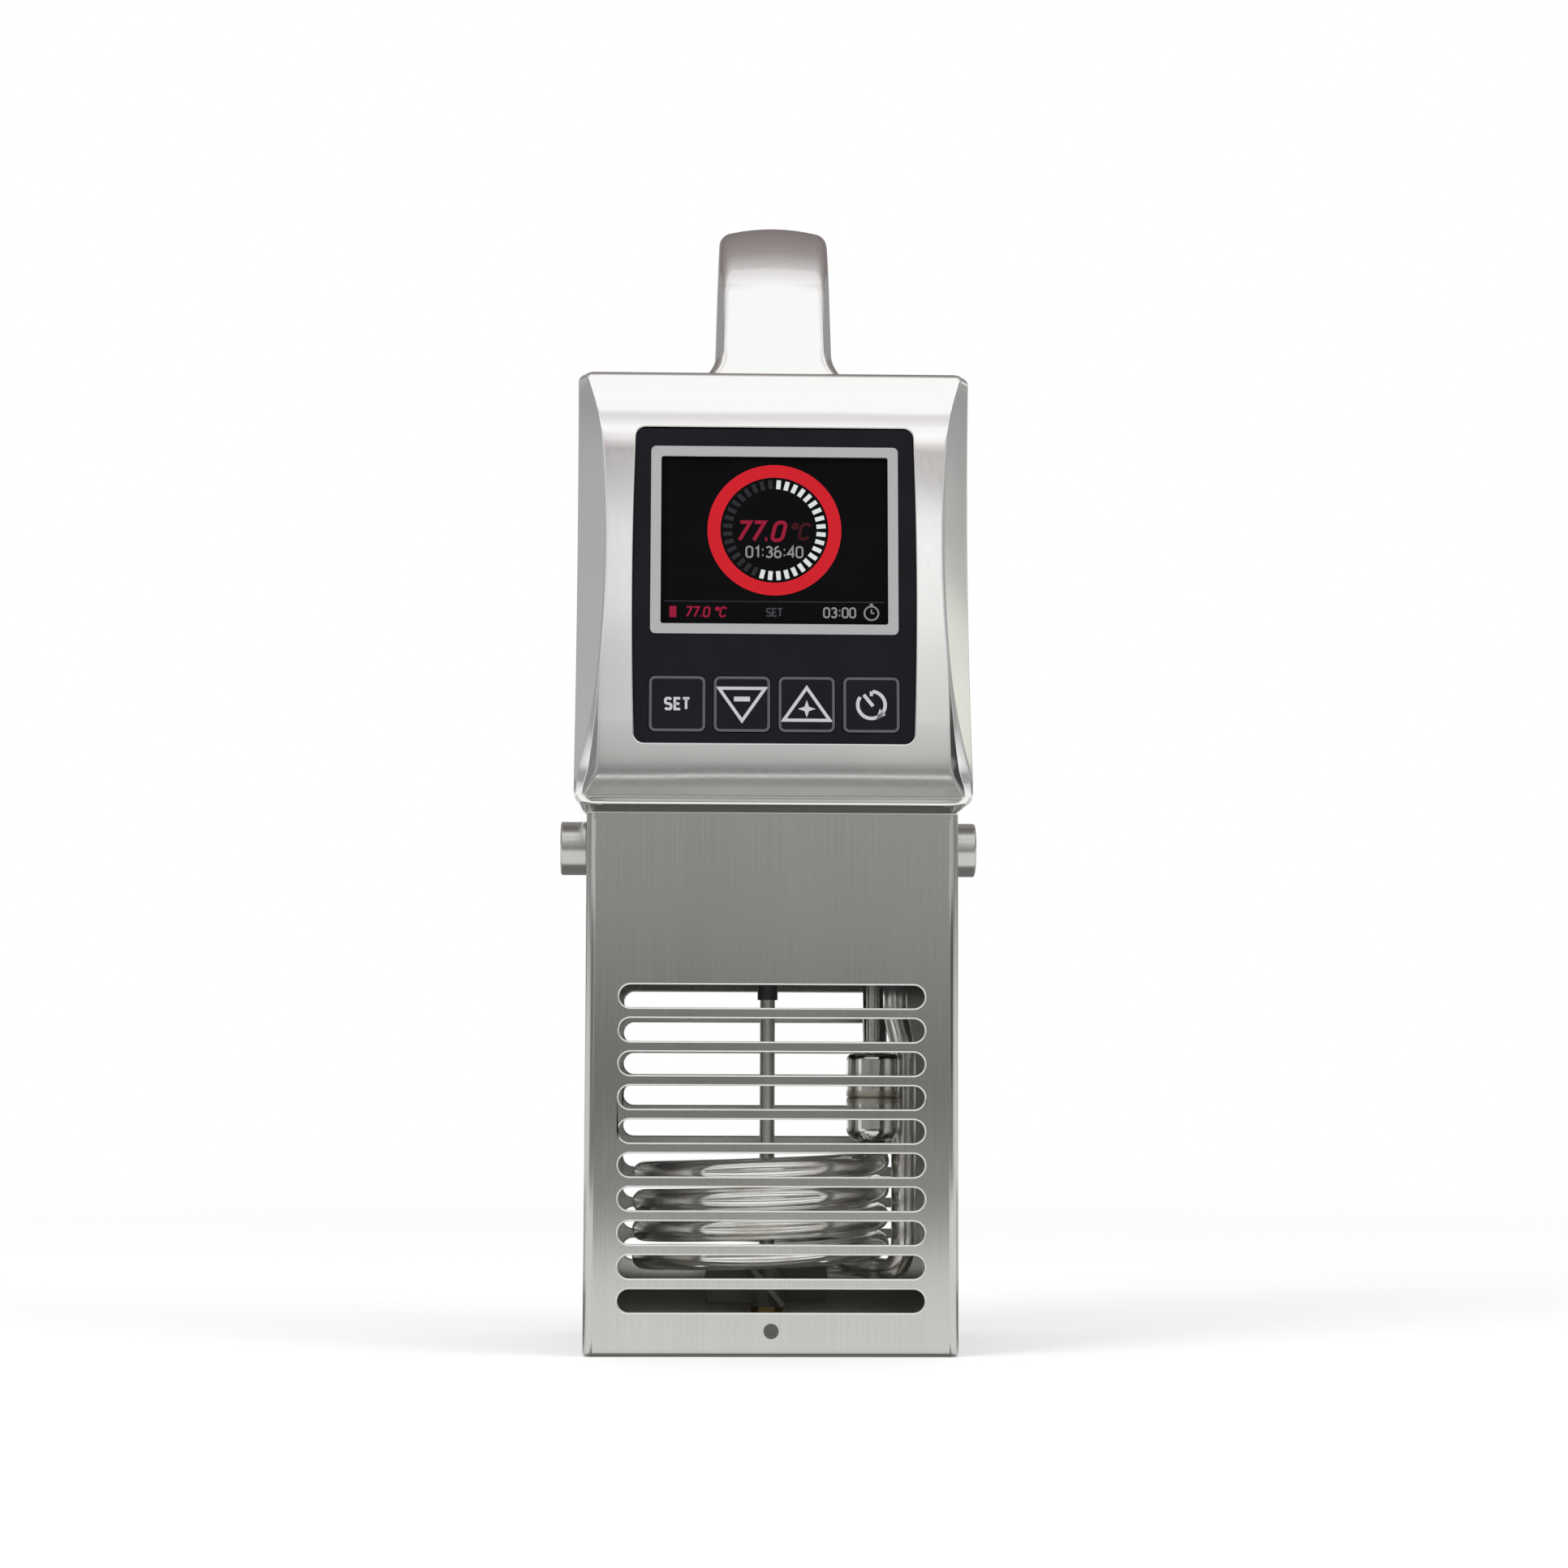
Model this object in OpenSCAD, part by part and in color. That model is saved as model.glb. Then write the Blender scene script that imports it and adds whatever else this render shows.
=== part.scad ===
// Sous vide circulator. A polished steel head with a display and four keys stands on a
// slotted steel guard. The heating coil, the stirrer, the level float and the temperature
// probe hang from the head's base plate into the guard. A screw clamp under the back of
// the head holds the wall of a tank. The front is -Y, the stirrer turns about X = 0,
// Y = 0, and the guard stands on Z = 0.

/* [Guard] */
// Width of the guard, side to side
guard_w = 117; // [114:0.5:126]
// Depth of the guard, front to back
guard_d = 110; // [104:0.5:116]
// Height of the guard
guard_h = 170.4; // [164:0.2:190]
// Sheet thickness of the guard
guard_wall = 1.2; // [0.8:0.1:2]
// Outside radius of the guard's upright bends
guard_bend_r = 3; // [2.4:0.1:8]
// Length of one water slot, end to end
slot_l = 95.6; // [60:0.2:100]
// Height of one water slot
slot_h = 7.1; // [4:0.1:8]
// Distance from one slot to the next
slot_pitch = 10.5; // [9:0.05:11.5]
// Number of slots in the front wall; the rear wall has one fewer
slot_count = 10; // [4:1:11]
// Height of the middle of the lowest front slot
slot_foot = 17.1; // [16:0.1:22]
// Thickness of the guard's bottom plate
bottom_t = 1.5; // [1:0.1:3]
// Diameter of the drain holes in the bottom plate
drain_d = 7; // [3:0.5:12]
// Diameter of the screws that hold the bottom plate
guard_screw_d = 3; // [2:0.5:4]
// Height of those screws above the foot
guard_screw_z = 7.8; // [6:0.1:9]

/* [Head] */
// Overhang of the head past the guard, on each side
head_over = 3.5; // [2.5:0.1:6]
// Height of the head without its handle
head_h = 138.9; // [136:0.1:160]
// Overhang of the head past the front of the guard
front_over = 13; // [12:0.5:24]
// Overhang of the head past the back of the guard
rear_over = 15; // [13:0.5:26]
// Wall of the cast head
head_wall = 2.5; // [2:0.1:3]
// Gap between the guard's top edge and the head
guard_gap = 0.8; // [0.4:0.1:2]
// Lean of the front face, in degrees
face_lean = 5; // [2:0.5:7]
// Height of the lip along the front's lower edge
lip_h = 2; // [1:0.1:3]
// Setback of that lip behind the foremost line of the face
lip_back = 1.5; // [0.5:0.1:3]
// Height of the foremost line above the underside
chin_h = 15; // [8:0.5:17]
// Height over which the brow rolls back at the top
brow_h = 17; // [10:0.5:19]
// Depth by which the brow rolls back
brow_d = 8; // [4:0.5:12]
// Height of the upright part of the back
back_h = 56; // [54:0.5:70]
// Depth by which the sloping back leans forward
back_lean_d = 34; // [20:1:40]
// Radius of the head's rear corners, seen from above
rear_corner_r = 10; // [4:0.5:14]
// Radius of the head's front corners, seen from above
front_corner_r = 2; // [1:0.1:4]
// Depth by which the side scoops pinch the face most
scoop_in = 8.8; // [6:0.1:10]
// Angle between a side scoop and the head's side
scoop_angle = 25; // [15:1:35]
// Radius of the side scoops
scoop_r = 474; // [300:1:700]
// Height of the deepest point of the scoops above the underside
scoop_z = 81; // [70:0.5:90]

/* [Handle] */
// Width of the handle strap
handle_w = 34.5; // [28:0.5:44]
// Thickness of the handle strap
handle_t = 9; // [8:0.5:12]
// Height of the handle above the head
handle_h = 52.6; // [40:0.1:60]
// Distance from the handle's feet to the edges of the head's flat top
handle_in = 1; // [0.5:0.1:8]
// Rise of the crown across the handle's top
handle_crown = 2.6; // [1:0.1:4]
// Diameter of the handle screws
handle_screw_d = 4; // [3:0.5:5]

/* [Control panel] */
// Width of the panel plate at its middle
panel_w = 88.8; // [84:0.2:92]
// Height of the panel plate
panel_h = 101.2; // [100:0.1:102]
// Bulge of the panel's long sides
panel_bulge = 0.9; // [0.4:0.1:2]
// Corner radius of the panel
panel_r = 3.5; // [2:0.1:6]
// Thickness of the panel plate
panel_t = 2.6; // [2.4:0.1:3.4]
// Depth of the panel's front below the polished rim
panel_sink = 0.8; // [0.3:0.1:1.5]
// Height of the panel's middle above the head's underside
panel_z = 69; // [68:0.1:70]
// Width of the ledge that the panel seats on
panel_ledge = 2.5; // [2:0.1:2.8]
// Width of the visible display
display_w = 71.4; // [60:0.1:72]
// Height of the visible display
display_h = 54; // [44:0.1:54.4]
// Width of the silver frame round the display
bezel_w = 3.2; // [2:0.1:4]
// Height of the display's middle above the panel's middle
display_up = 14.6; // [14:0.1:15]
// Thickness of the display glass
window_t = 1; // [0.8:0.1:1.1]
// Thickness of the display module
module_t = 5; // [4:0.1:5.2]
// Width of a key
key_w = 17.6; // [12:0.1:17.8]
// Height of a key
key_h = 17.6; // [12:0.1:17.8]
// Distance from one key to the next
key_pitch = 20.2; // [19.8:0.1:20.4]
// Drop of the key row below the panel's middle
key_drop = 38; // [37.4:0.1:38.3]
// Gap all round a key in the panel
key_gap = 0.25; // [0.15:0.05:0.4]
// Travel of a key
key_travel = 0.5; // [0.2:0.05:0.6]
// Distance from the back of the panel to the control board
board_gap = 5.6; // [5.5:0.1:7]
// Thickness of the circuit boards
board_t = 1.6; // [1:0.1:2]

/* [Base and drive] */
// Thickness of the base plate
base_t = 3; // [2.6:0.1:4]
// Thickness of the gasket on the base plate
gasket_t = 1; // [0.6:0.1:1.6]
// Width of the ledge that the base gasket seals against
ledge_w = 4; // [3:0.1:5]
// Diameter of the stirrer shaft
shaft_d = 5; // [4:0.1:6]
// Outside diameter of the shaft bearing and seal
bearing_d = 16; // [13:0.5:19]
// Height of the shaft bearing
bearing_h = 5; // [4:0.1:6]
// Height to which the shaft sleeve reaches down
sleeve_z = 111.5; // [100:0.5:130]
// Wall of the shaft sleeve
sleeve_wall = 0.7; // [0.5:0.1:1.5]
// Outside diameter of the motor
motor_d = 52; // [46:1:56]
// Height of the motor
motor_h = 60; // [50:1:70]
// Thickness of the motor mount
mount_t = 8; // [7:0.5:12]
// Height of the bottom of the impeller hub
impeller_z = 12; // [10:0.5:20]
// Height of the impeller hub
impeller_h = 14; // [10:0.5:18]
// Diameter over the impeller's blades
impeller_d = 40; // [30:1:56]
// Number of impeller blades
blade_count = 4; // [3:1:6]

/* [Heater and sensors] */
// Diameter of the heater tube
tube_d = 8; // [6:0.1:8.4]
// Outside diameter of the coil
coil_d = 84; // [80:0.5:84.5]
// Distance from one turn of the coil to the next
coil_pitch = 9; // [8.6:0.1:9.6]
// Number of coil turns
coil_turns = 4; // [2:1:4]
// Height of the lowest turn at the front
coil_z = 30; // [28:0.5:34]
// Offset of the coil to the left of the shaft
coil_left = 2; // [1:0.1:4]
// Diameter of the level float
float_d = 17; // [14:0.5:18]
// Height of the level float
float_h = 28; // [20:0.5:32]
// Height of the float's underside at rest
float_z = 66; // [65.5:0.5:76]
// Travel of the float up its stem
float_travel = 11.5; // [6:0.5:16]
// Diameter of the float's stem
stem_d = 4; // [3:0.1:5]
// Diameter of the temperature probe
probe_d = 4; // [3:0.1:6]
// Height of the probe's tip
probe_z = 75; // [66:0.5:110]

/* [Fixing of the guard] */
// Height of the collar that the guard slides over
collar_h = 24; // [20:0.5:30]
// Sheet thickness of the collar
collar_wall = 1.5; // [1:0.1:2.5]
// Gap between the guard and the collar
collar_gap = 0.3; // [0.2:0.05:0.8]
// Diameter of a side knob
side_knob_d = 17.6; // [12:0.2:19]
// Length of a side knob
side_knob_l = 8.6; // [6:0.1:14]
// Diameter of a side knob's stud
stud_d = 6; // [4:0.5:8]
// Drop of the side knobs below the head's underside
side_knob_drop = 10.1; // [9.6:0.1:12]
// Thickness of the washer under a side knob
washer_t = 1; // [0.5:0.1:2]
// Length by which a side knob unscrews
knob_travel = 6; // [3:0.5:6.5]

/* [Tank clamp] */
// Gap between the guard and the clamp pad at rest
clamp_gap = 12; // [6:0.5:16]
// Travel of the pad towards the guard
clamp_close = 10; // [4:0.5:10]
// Travel of the pad away from the guard
clamp_open = 8; // [4:0.5:12]
// Drop of the clamp screw below the head's underside
clamp_drop = 27; // [23:0.5:30]
// Thickness of the clamp bracket
bracket_t = 4; // [3:0.2:6]
// Width of the clamp bracket
bracket_w = 40; // [34:1:60]
// Diameter of the clamp screw
clamp_screw_d = 8; // [6:0.5:10]
// Diameter of the clamp pad
pad_d = 20; // [14:0.5:26]
// Thickness of the clamp pad
pad_t = 4; // [3.5:0.1:8]
// Diameter of the clamp knob
clamp_knob_d = 34; // [24:0.5:40]
// Length of the clamp knob
clamp_knob_l = 15; // [10:0.5:24]
// Length of the threaded bush in the bracket
bush_l = 12; // [8:0.5:18]
// Diameter of the threaded bush
bush_d = 18; // [14:0.5:22]

/* [Rear cover and cable inlet] */
// Width of the rear cover
cover_w = 100; // [80:1:102]
// Height of the rear cover
cover_h = 44; // [40:0.5:47]
// Thickness of the rear cover
cover_t = 2; // [1.4:0.1:3]
// Height of the cover's middle above the head's underside
cover_z = 28; // [27.5:0.1:31]
// Width of the cover's rim that bears on the gasket
cover_rim = 8; // [7:0.5:8.5]
// Thread diameter of the cable gland
gland_d = 20; // [16:0.5:22]
// Bore of the gland's seal
gland_bore = 8.5; // [5:0.1:10]
// Length of the gland's cap behind the cover
gland_cap_l = 14; // [10:0.5:20]

/* [Hidden] */
$fn = 64;

steel = "#b9bab5";
polished = "#d9dad8";
dark_plastic = "#1d1d22";
rubber = "#2a2a2c";
brass = "#b59a55";
board_green = "#2c6a3f";

// Cuts run this far past the faces that they open
past = 1;
// Slip between a screw and its hole, per side
screw_slip = 0.15;
// Small screws of the plates: thread, its hole in the head, screw head
small_screw_d = 2.9;
small_bore_d = 3;
small_head_d = 5.8;
small_head_h = 1.6;
// Slip of a turning shaft in its bearing, per side
run_slip = 0.04;
// Air left between pieces that stand face to face
seat = 0.05;

// Size of the head
head_w = guard_w + 2 * head_over;
head_front = guard_d / 2 + front_over;
head_rear = guard_d / 2 + rear_over;
scoop_x = head_w / 2 - scoop_in;

// Levels of the head
base_z = guard_h + guard_gap;
top_z = base_z + head_h;
gasket_z = base_z + base_t;
ledge_z = gasket_z + gasket_t;
ledge_t = 3;
floor_z = ledge_z + ledge_t;

// Outline of the head seen from the side: Y, then Z
chin_z = base_z + chin_h;
brow_z = top_z - brow_h;
brow_y = -head_front + (brow_z - chin_z) * tan(face_lean);
brow_edge_y = brow_y + brow_d;
lip_y = -head_front + lip_back;
back_z = base_z + back_h;
back_top_y = head_rear - back_lean_d;
brow_r = 30;
back_r = 14;
back_slope = atan2(top_z - back_z, back_lean_d);
flat_end_y = back_top_y - back_r * tan(back_slope / 2);
HEAD_SIDE = [
    [lip_y, base_z], [head_rear, base_z], [head_rear, back_z], [back_top_y, top_z],
    [brow_edge_y, top_z], [brow_y, brow_z], [-head_front, chin_z],
    [lip_y, base_z + lip_h]
];
HEAD_SIDE_R = [0, 0, back_r, back_r, 0, brow_r, back_r, 0];

// The middle of the panel, on the plane of the front face
panel_mid_z = base_z + panel_z;
panel_mid_y = -head_front + (panel_mid_z - chin_z) * tan(face_lean);
panel_slip = 0.15;
panel_back = panel_sink + panel_t;
ledge_back = panel_back + 2;
board_front = panel_back + board_gap;

// Keys, the switches behind them, and the posts of the control board
key_proud = 0.2;
key_flange = 0.8;
key_flange_t = 0.8;
switch_w = 6;
switch_body_t = 3;
plunger_t = 0.6;
key_reach = board_front - switch_body_t - plunger_t - key_travel - 0.1;
post_d = 4;
post_bore = 1.6;
module_margin = 1.2;
board_w = panel_w - 7;
board_h = panel_h - 7;
upper_post_x = 30;
upper_post_y = display_up + display_h / 2 + module_margin + post_d / 2 + 0.3;
lower_post_x = board_w / 2 - post_d / 2 - 0.4;
lower_post_y = key_h / 2 - key_drop + 7.5;

// Drive
shaft_r = shaft_d / 2;
bearing_r = bearing_d / 2;
motor_z = gasket_z + mount_t;
motor_top = motor_z + motor_h;
motor_r = motor_d / 2;
motor_wall = 1.5;
motor_end_t = 6;
air_gap = 0.4;
rotor_r = motor_r * 0.58;
motor_screw_ring = motor_r - 6;
nut_h = 5;
shaft_bottom = impeller_z - nut_h + 1.5;

// Heater: the coil and its two legs
tube_r = tube_d / 2;
coil_r = (coil_d - tube_d) / 2;
coil_x = -coil_left;
leg_top = gasket_z + 12;
front_leg_x = 41.8;
low_leg_x = coil_x + coil_d / 2 + tube_r + 0.6;
front_leg_y = -2;
bend_r = 12;
back_leg_x = coil_x + coil_r;
back_leg_y = bend_r;
tube_sides = 12;
gland_nut_w = 13;
probe_nut_w = 10;
stem_nut_w = 9;

// Float and probe
stem_r = stem_d / 2;
float_x = 33.5;
float_y = -20;
float_slip = 0.15;
stop_t = 1.2;
stop_r = stem_r + 2;
probe_x = 43.8;
probe_y = 30;
nut_t = 5;

// Collar, side knobs and clamp
collar_w = guard_w - 2 * (guard_wall + collar_gap);
collar_d = guard_d - 2 * (guard_wall + collar_gap);
side_knob_z = base_z - side_knob_drop;
knob_bush_l = knob_travel;
stud_in = collar_w / 2 - collar_wall - knob_bush_l + 0.5;
clamp_z = base_z - clamp_drop;
pad_y = guard_d / 2 + clamp_gap;
bush_y = pad_y + pad_t + clamp_open + 0.5;
arm_y = bush_y + 2.5;
bracket_in_y = guard_d / 2 + 1.5;
bracket_screw_d = 4;
bracket_screw_x = bracket_w / 2 - 7;
bracket_screw_y = bracket_in_y + bracket_screw_d;
knob_y = bush_y + bush_l + clamp_close + 0.5;
spindle_tip = 2.5;
neck_r = clamp_screw_d / 2 - 1.2;

// Rear cover and gland
cover_mid_z = base_z + cover_z;
cover_y = head_rear + gasket_t;
gland_r = gland_d / 2;
gland_hex = gland_d + 4;
locknut_t = 4;
boss_r = 4.5;
boss_x = head_w / 2 - head_wall - boss_r + 1;
boss_front_y = lip_y + head_wall + boss_r - 0.5;
boss_rear_y = head_rear - head_wall - boss_r - 4;
boss_top = floor_z + 12;

// Geometry helpers ---------------------------------------------------------------------

function unit(v) = v / norm(v);

// Arc of radius r that rounds the corner b between its neighbours a and c
function corner_arc(a, b, c, r, n = 8) =
    r == 0 ? [b] :
    let (
        u = unit(a - b),
        v = unit(c - b),
        half = acos(u * v) / 2,
        centre = b + unit(u + v) * r / sin(half),
        s = b + u * r / tan(half) - centre,
        e = b + v * r / tan(half) - centre,
        start = atan2(s.y, s.x),
        turn = (atan2(e.y, e.x) - start + 540) % 360 - 180
    )
    [for (i = [0:n]) centre + r * [cos(start + turn * i / n), sin(start + turn * i / n)]];

// Outline p with corner i rounded by radii[i]
function round_poly(p, radii) =
    let (n = len(p))
    [for (i = [0:n - 1]) each corner_arc(p[(i + n - 1) % n], p[i], p[(i + 1) % n], radii[i])];

// Outline p, counter-clockwise, with each side moved inwards by d
function inset_poly(p, d) =
    let (n = len(p))
    [for (i = [0:n - 1])
        let (
            b = p[i],
            e = unit(b - p[(i + n - 1) % n]),
            f = unit(p[(i + 1) % n] - b),
            m = [-e.y, e.x],
            k = [-f.y, f.x]
        )
        b + (m + k) * d / (1 + m * k)];

function inset_radii(radii, d) = [for (r = radii) r > d + 1 ? r - d : 0];

module round_rect(w, d, r) {
    square([w - 2 * r, d], center = true);
    square([w, d - 2 * r], center = true);
    for (x = [-1, 1], y = [-1, 1])
        translate([x * (w / 2 - r), y * (d / 2 - r)])
            circle(r);
}

module slab(w, d, h, r) {
    linear_extrude(h)
        round_rect(w, d, r);
}

module ring(outer, inner, h) {
    difference() {
        cylinder(r = outer, h = h);
        translate([0, 0, -past])
            cylinder(r = inner, h = h + 2 * past);
    }
}

// Extrudes a Y-Z outline across X
module across(w) {
    rotate([90, 0, 90])
        linear_extrude(w, center = true)
            children();
}

// Moves to the panel: X across, Y up the face, Z out of it
module on_panel() {
    translate([0, panel_mid_y, panel_mid_z])
        rotate([90 - face_lean, 0, 0])
            children();
}

// A screw that points down: its seat is at Z = 0 and its head is above
module screw(d, l, head_d, head_h) {
    difference() {
        union() {
            cylinder(d = head_d, h = head_h);
            translate([0, 0, -l])
                cylinder(d = d, h = l + 0.1);
        }
        translate([0, 0, head_h * 0.45])
            cylinder(d = head_d * 0.5, h = head_h, $fn = 6);
    }
}

module hex_nut(w, h, bore) {
    difference() {
        cylinder(d = w / cos(30), h = h, $fn = 6);
        translate([0, 0, -past])
            cylinder(d = bore, h = h + 2 * past);
    }
}

// Head ---------------------------------------------------------------------------------

module head_footprint(inset) {
    w = head_w / 2 - inset;
    front = -head_front + inset;
    rear = head_rear - inset;
    polygon(round_poly(
        [[-w, front], [w, front], [w, rear], [-w, rear]],
        inset_radii([front_corner_r + 1.2, front_corner_r + 1.2, rear_corner_r, rear_corner_r],
            inset * 0.5)
    ));
}

// The outside of the head, or its inside when inset by a wall
module head_form(inset) {
    difference() {
        intersection() {
            across(head_w - 2 * inset)
                polygon(round_poly(inset_poly(HEAD_SIDE, inset), inset_radii(HEAD_SIDE_R, inset)));
            translate([0, 0, base_z - past])
                linear_extrude(head_h + 2 * past)
                    head_footprint(inset);
        }
        for (side = [0, 1])
            mirror([side, 0, 0])
                on_panel()
                    translate([
                        scoop_x + scoop_r * cos(scoop_angle),
                        scoop_z - panel_z,
                        scoop_r * sin(scoop_angle)
                    ])
                        rotate([0, -scoop_angle, 0])
                            cylinder(r = scoop_r + inset, h = 3 * head_w, center = true, $fn = 360);
    }
}

module panel_outline(grow) {
    w = panel_w + 2 * grow;
    h = panel_h + 2 * grow;
    side_r = pow(panel_h / 2, 2) / (2 * panel_bulge);
    intersection() {
        round_rect(w, h, panel_r + grow);
        translate([side_r - w / 2, 0])
            circle(side_r, $fn = 360);
        translate([w / 2 - side_r, 0])
            circle(side_r, $fn = 360);
    }
}

module head_bosses() {
    for (x = [-1, 1], y = [boss_front_y, boss_rear_y])
        translate([x * boss_x, y, ledge_z])
            cylinder(r = boss_r, h = boss_top - ledge_z);
}

module boss_bores() {
    for (x = [-1, 1], y = [boss_front_y, boss_rear_y])
        translate([x * boss_x, y, ledge_z - past])
            cylinder(d = small_bore_d, h = 10 + past);
}

module handle_screw_places() {
    for (x = [-1, 1], y = [front_foot_y, rear_foot_y])
        translate([x * handle_w / 4, y, top_z - head_wall])
            children();
}

module cover_screw_places() {
    for (x = [-1, 1], z = [-1, 1])
        translate([x * (cover_w / 2 - 4), 0, cover_mid_z + z * (cover_h / 2 - 4)])
            rotate([-90, 0, 0])
                children();
}

module head_shell() {
    color(polished)
        difference() {
            union() {
                difference() {
                    head_form(0);
                    intersection() {
                        head_form(head_wall);
                        translate([-head_w, -head_w, floor_z])
                            cube([2 * head_w, 2 * head_w, head_h]);
                    }
                }
                // frame that carries the panel
                intersection() {
                    head_form(head_wall / 2);
                    on_panel()
                        translate([0, 0, -ledge_back])
                            linear_extrude(ledge_back)
                                panel_outline(3);
                }
                intersection() {
                    head_form(head_wall / 2);
                    head_bosses();
                }
            }
            // seat of the base plate and its gasket
            translate([0, 0, base_z - past])
                linear_extrude(ledge_z - base_z + past)
                    seat_outline(0);
            // way in past the ledge, left solid at the bosses
            difference() {
                translate([0, 0, ledge_z - past])
                    linear_extrude(ledge_t + 2 * past)
                        seat_outline(ledge_w);
                head_bosses();
            }
            boss_bores();
            on_panel() {
                translate([0, 0, -panel_back])
                    linear_extrude(panel_back + past)
                        panel_outline(panel_slip);
                translate([0, 0, -ledge_back - past])
                    linear_extrude(ledge_back)
                        panel_outline(-panel_ledge);
            }
            handle_screw_places()
                translate([0, 0, -past])
                    cylinder(d = handle_screw_d + 2 * screw_slip, h = head_wall + 2 * past);
            // way through the back, closed by the rear cover
            translate([0, head_rear, cover_mid_z])
                rotate([90, 0, 0])
                    translate([0, 0, -past])
                        slab(cover_w - 2 * cover_rim, cover_h - 2 * cover_rim, head_wall + 2 * past, 3);
            translate([0, head_rear - head_wall - past, 0])
                cover_screw_places()
                    cylinder(d = small_bore_d, h = head_wall + 2 * past);
        }
}

// Outline of the base plate's seat, d inside the wall
module seat_outline(d) {
    inset = head_wall + d;
    w = head_w / 2 - inset;
    front = lip_y + inset;
    rear = head_rear - inset;
    corner = max(rear_corner_r - inset, 1);
    polygon(round_poly(
        [[-w, front], [w, front], [w, rear], [-w, rear]],
        [1, 1, corner, corner]
    ));
}

// Handle -------------------------------------------------------------------------------

handle_front_y = brow_edge_y + handle_in;
handle_rear_y = flat_end_y - handle_in;
handle_foot = handle_t + 6;
front_lean = 0.2;
rear_lean = 0.42;
handle_top = top_z + handle_h;
front_foot_y = handle_front_y + handle_t / 2 + 1;
rear_foot_y = handle_rear_y - handle_t / 2 - 2;

// Loop of the handle seen from the side, its legs run below the head's top by down
function handle_side(down) = [
    [handle_rear_y + down * rear_lean, top_z - down],
    [handle_rear_y - handle_h * rear_lean, handle_top],
    [handle_front_y + handle_h * front_lean, handle_top],
    [handle_front_y - down * front_lean, top_z - down]
];

module handle() {
    color(polished)
        difference() {
            intersection() {
                across(handle_w + 20)
                    difference() {
                        polygon(round_poly(handle_side(0), [0, 20, 15, 0]));
                        polygon(round_poly(inset_poly(handle_side(handle_foot), handle_t),
                            [0, 12, 8, 0]));
                    }
                rotate([90, 0, 0])
                    linear_extrude(3 * head_w, center = true)
                        polygon(round_poly(
                            [
                                [-handle_w / 2 - 4, top_z], [handle_w / 2 + 4, top_z],
                                [handle_w / 2 + 1, top_z + 4],
                                [handle_w / 2, handle_top - handle_crown],
                                [0, handle_top + 0.3],
                                [-handle_w / 2, handle_top - handle_crown],
                                [-handle_w / 2 - 1, top_z + 4]
                            ],
                            [0, 0, 4, 4, 60, 4, 4]
                        ));
            }
            handle_screw_places()
                cylinder(d = handle_screw_d + 2 * screw_slip, h = head_wall + 7);
        }
}

module handle_screws() {
    color(steel)
        handle_screw_places()
            translate([0, 0, -seat])
                rotate([180, 0, 0])
                    screw(handle_screw_d, head_wall + 6, handle_screw_d * 1.8, handle_screw_d * 0.7);
}

// Rear cover and cable gland -----------------------------------------------------------

module rear_cover_gasket() {
    color(rubber)
        difference() {
            translate([0, head_rear, cover_mid_z])
                rotate([90, 0, 0])
                    translate([0, 0, -gasket_t])
                        difference() {
                            slab(cover_w, cover_h, gasket_t, 4);
                            translate([0, 0, -past])
                                slab(cover_w - 2 * cover_rim, cover_h - 2 * cover_rim,
                                    gasket_t + 2 * past, 3);
                        }
            translate([0, head_rear - past, 0])
                cover_screw_places()
                    cylinder(d = 3 + 2 * screw_slip, h = gasket_t + 2 * past);
        }
}

module rear_cover() {
    color(steel)
        difference() {
            translate([0, cover_y, cover_mid_z])
                rotate([90, 0, 0])
                    translate([0, 0, -cover_t])
                        slab(cover_w, cover_h, cover_t, 4);
            translate([0, cover_y - past, 0])
                cover_screw_places()
                    cylinder(d = 3 + 2 * screw_slip, h = cover_t + 2 * past);
            translate([0, cover_y - past, cover_mid_z])
                rotate([-90, 0, 0])
                    cylinder(r = gland_r + screw_slip, h = cover_t + 2 * past);
        }
}

module rear_cover_screws() {
    color(steel)
        translate([0, cover_y + cover_t + seat, 0])
            cover_screw_places()
                screw(small_screw_d, cover_t + gasket_t + head_wall, small_head_d, small_head_h);
}

// Gland body: a flange outside the cover, a thread through it and a locknut inside
module gland_body() {
    color(dark_plastic)
        translate([0, cover_y, cover_mid_z])
            rotate([-90, 0, 0])
                difference() {
                    union() {
                        translate([0, 0, cover_t])
                            cylinder(d = gland_hex / cos(30), h = 4, $fn = 6);
                        translate([0, 0, -locknut_t - 1])
                            cylinder(r = gland_r, h = locknut_t + cover_t + 5 + gland_cap_l * 0.5);
                        translate([0, 0, -locknut_t])
                            cylinder(r = cover_h / 2 - cover_rim - 0.5, h = locknut_t);
                    }
                    translate([0, 0, -locknut_t - 2])
                        cylinder(r = gland_r - 3, h = 2 * gland_cap_l + 3 * locknut_t);
                }
}

module gland_cap() {
    color(dark_plastic)
        translate([0, cover_y + cover_t + 4.2, cover_mid_z])
            rotate([-90, 0, 0])
                difference() {
                    rotate_extrude()
                        polygon(round_poly(
                            [
                                [gland_bore / 2 + 1, 0], [gland_hex / 2, 0],
                                [gland_hex / 2, gland_cap_l * 0.6],
                                [gland_bore / 2 + 4, gland_cap_l],
                                [gland_bore / 2 + 1, gland_cap_l]
                            ],
                            [0, 0, 3, 1, 0]
                        ));
                    translate([0, 0, -past])
                        cylinder(r = gland_r + 0.1, h = gland_cap_l * 0.5 + 1.8 + past);
                }
}

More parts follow.
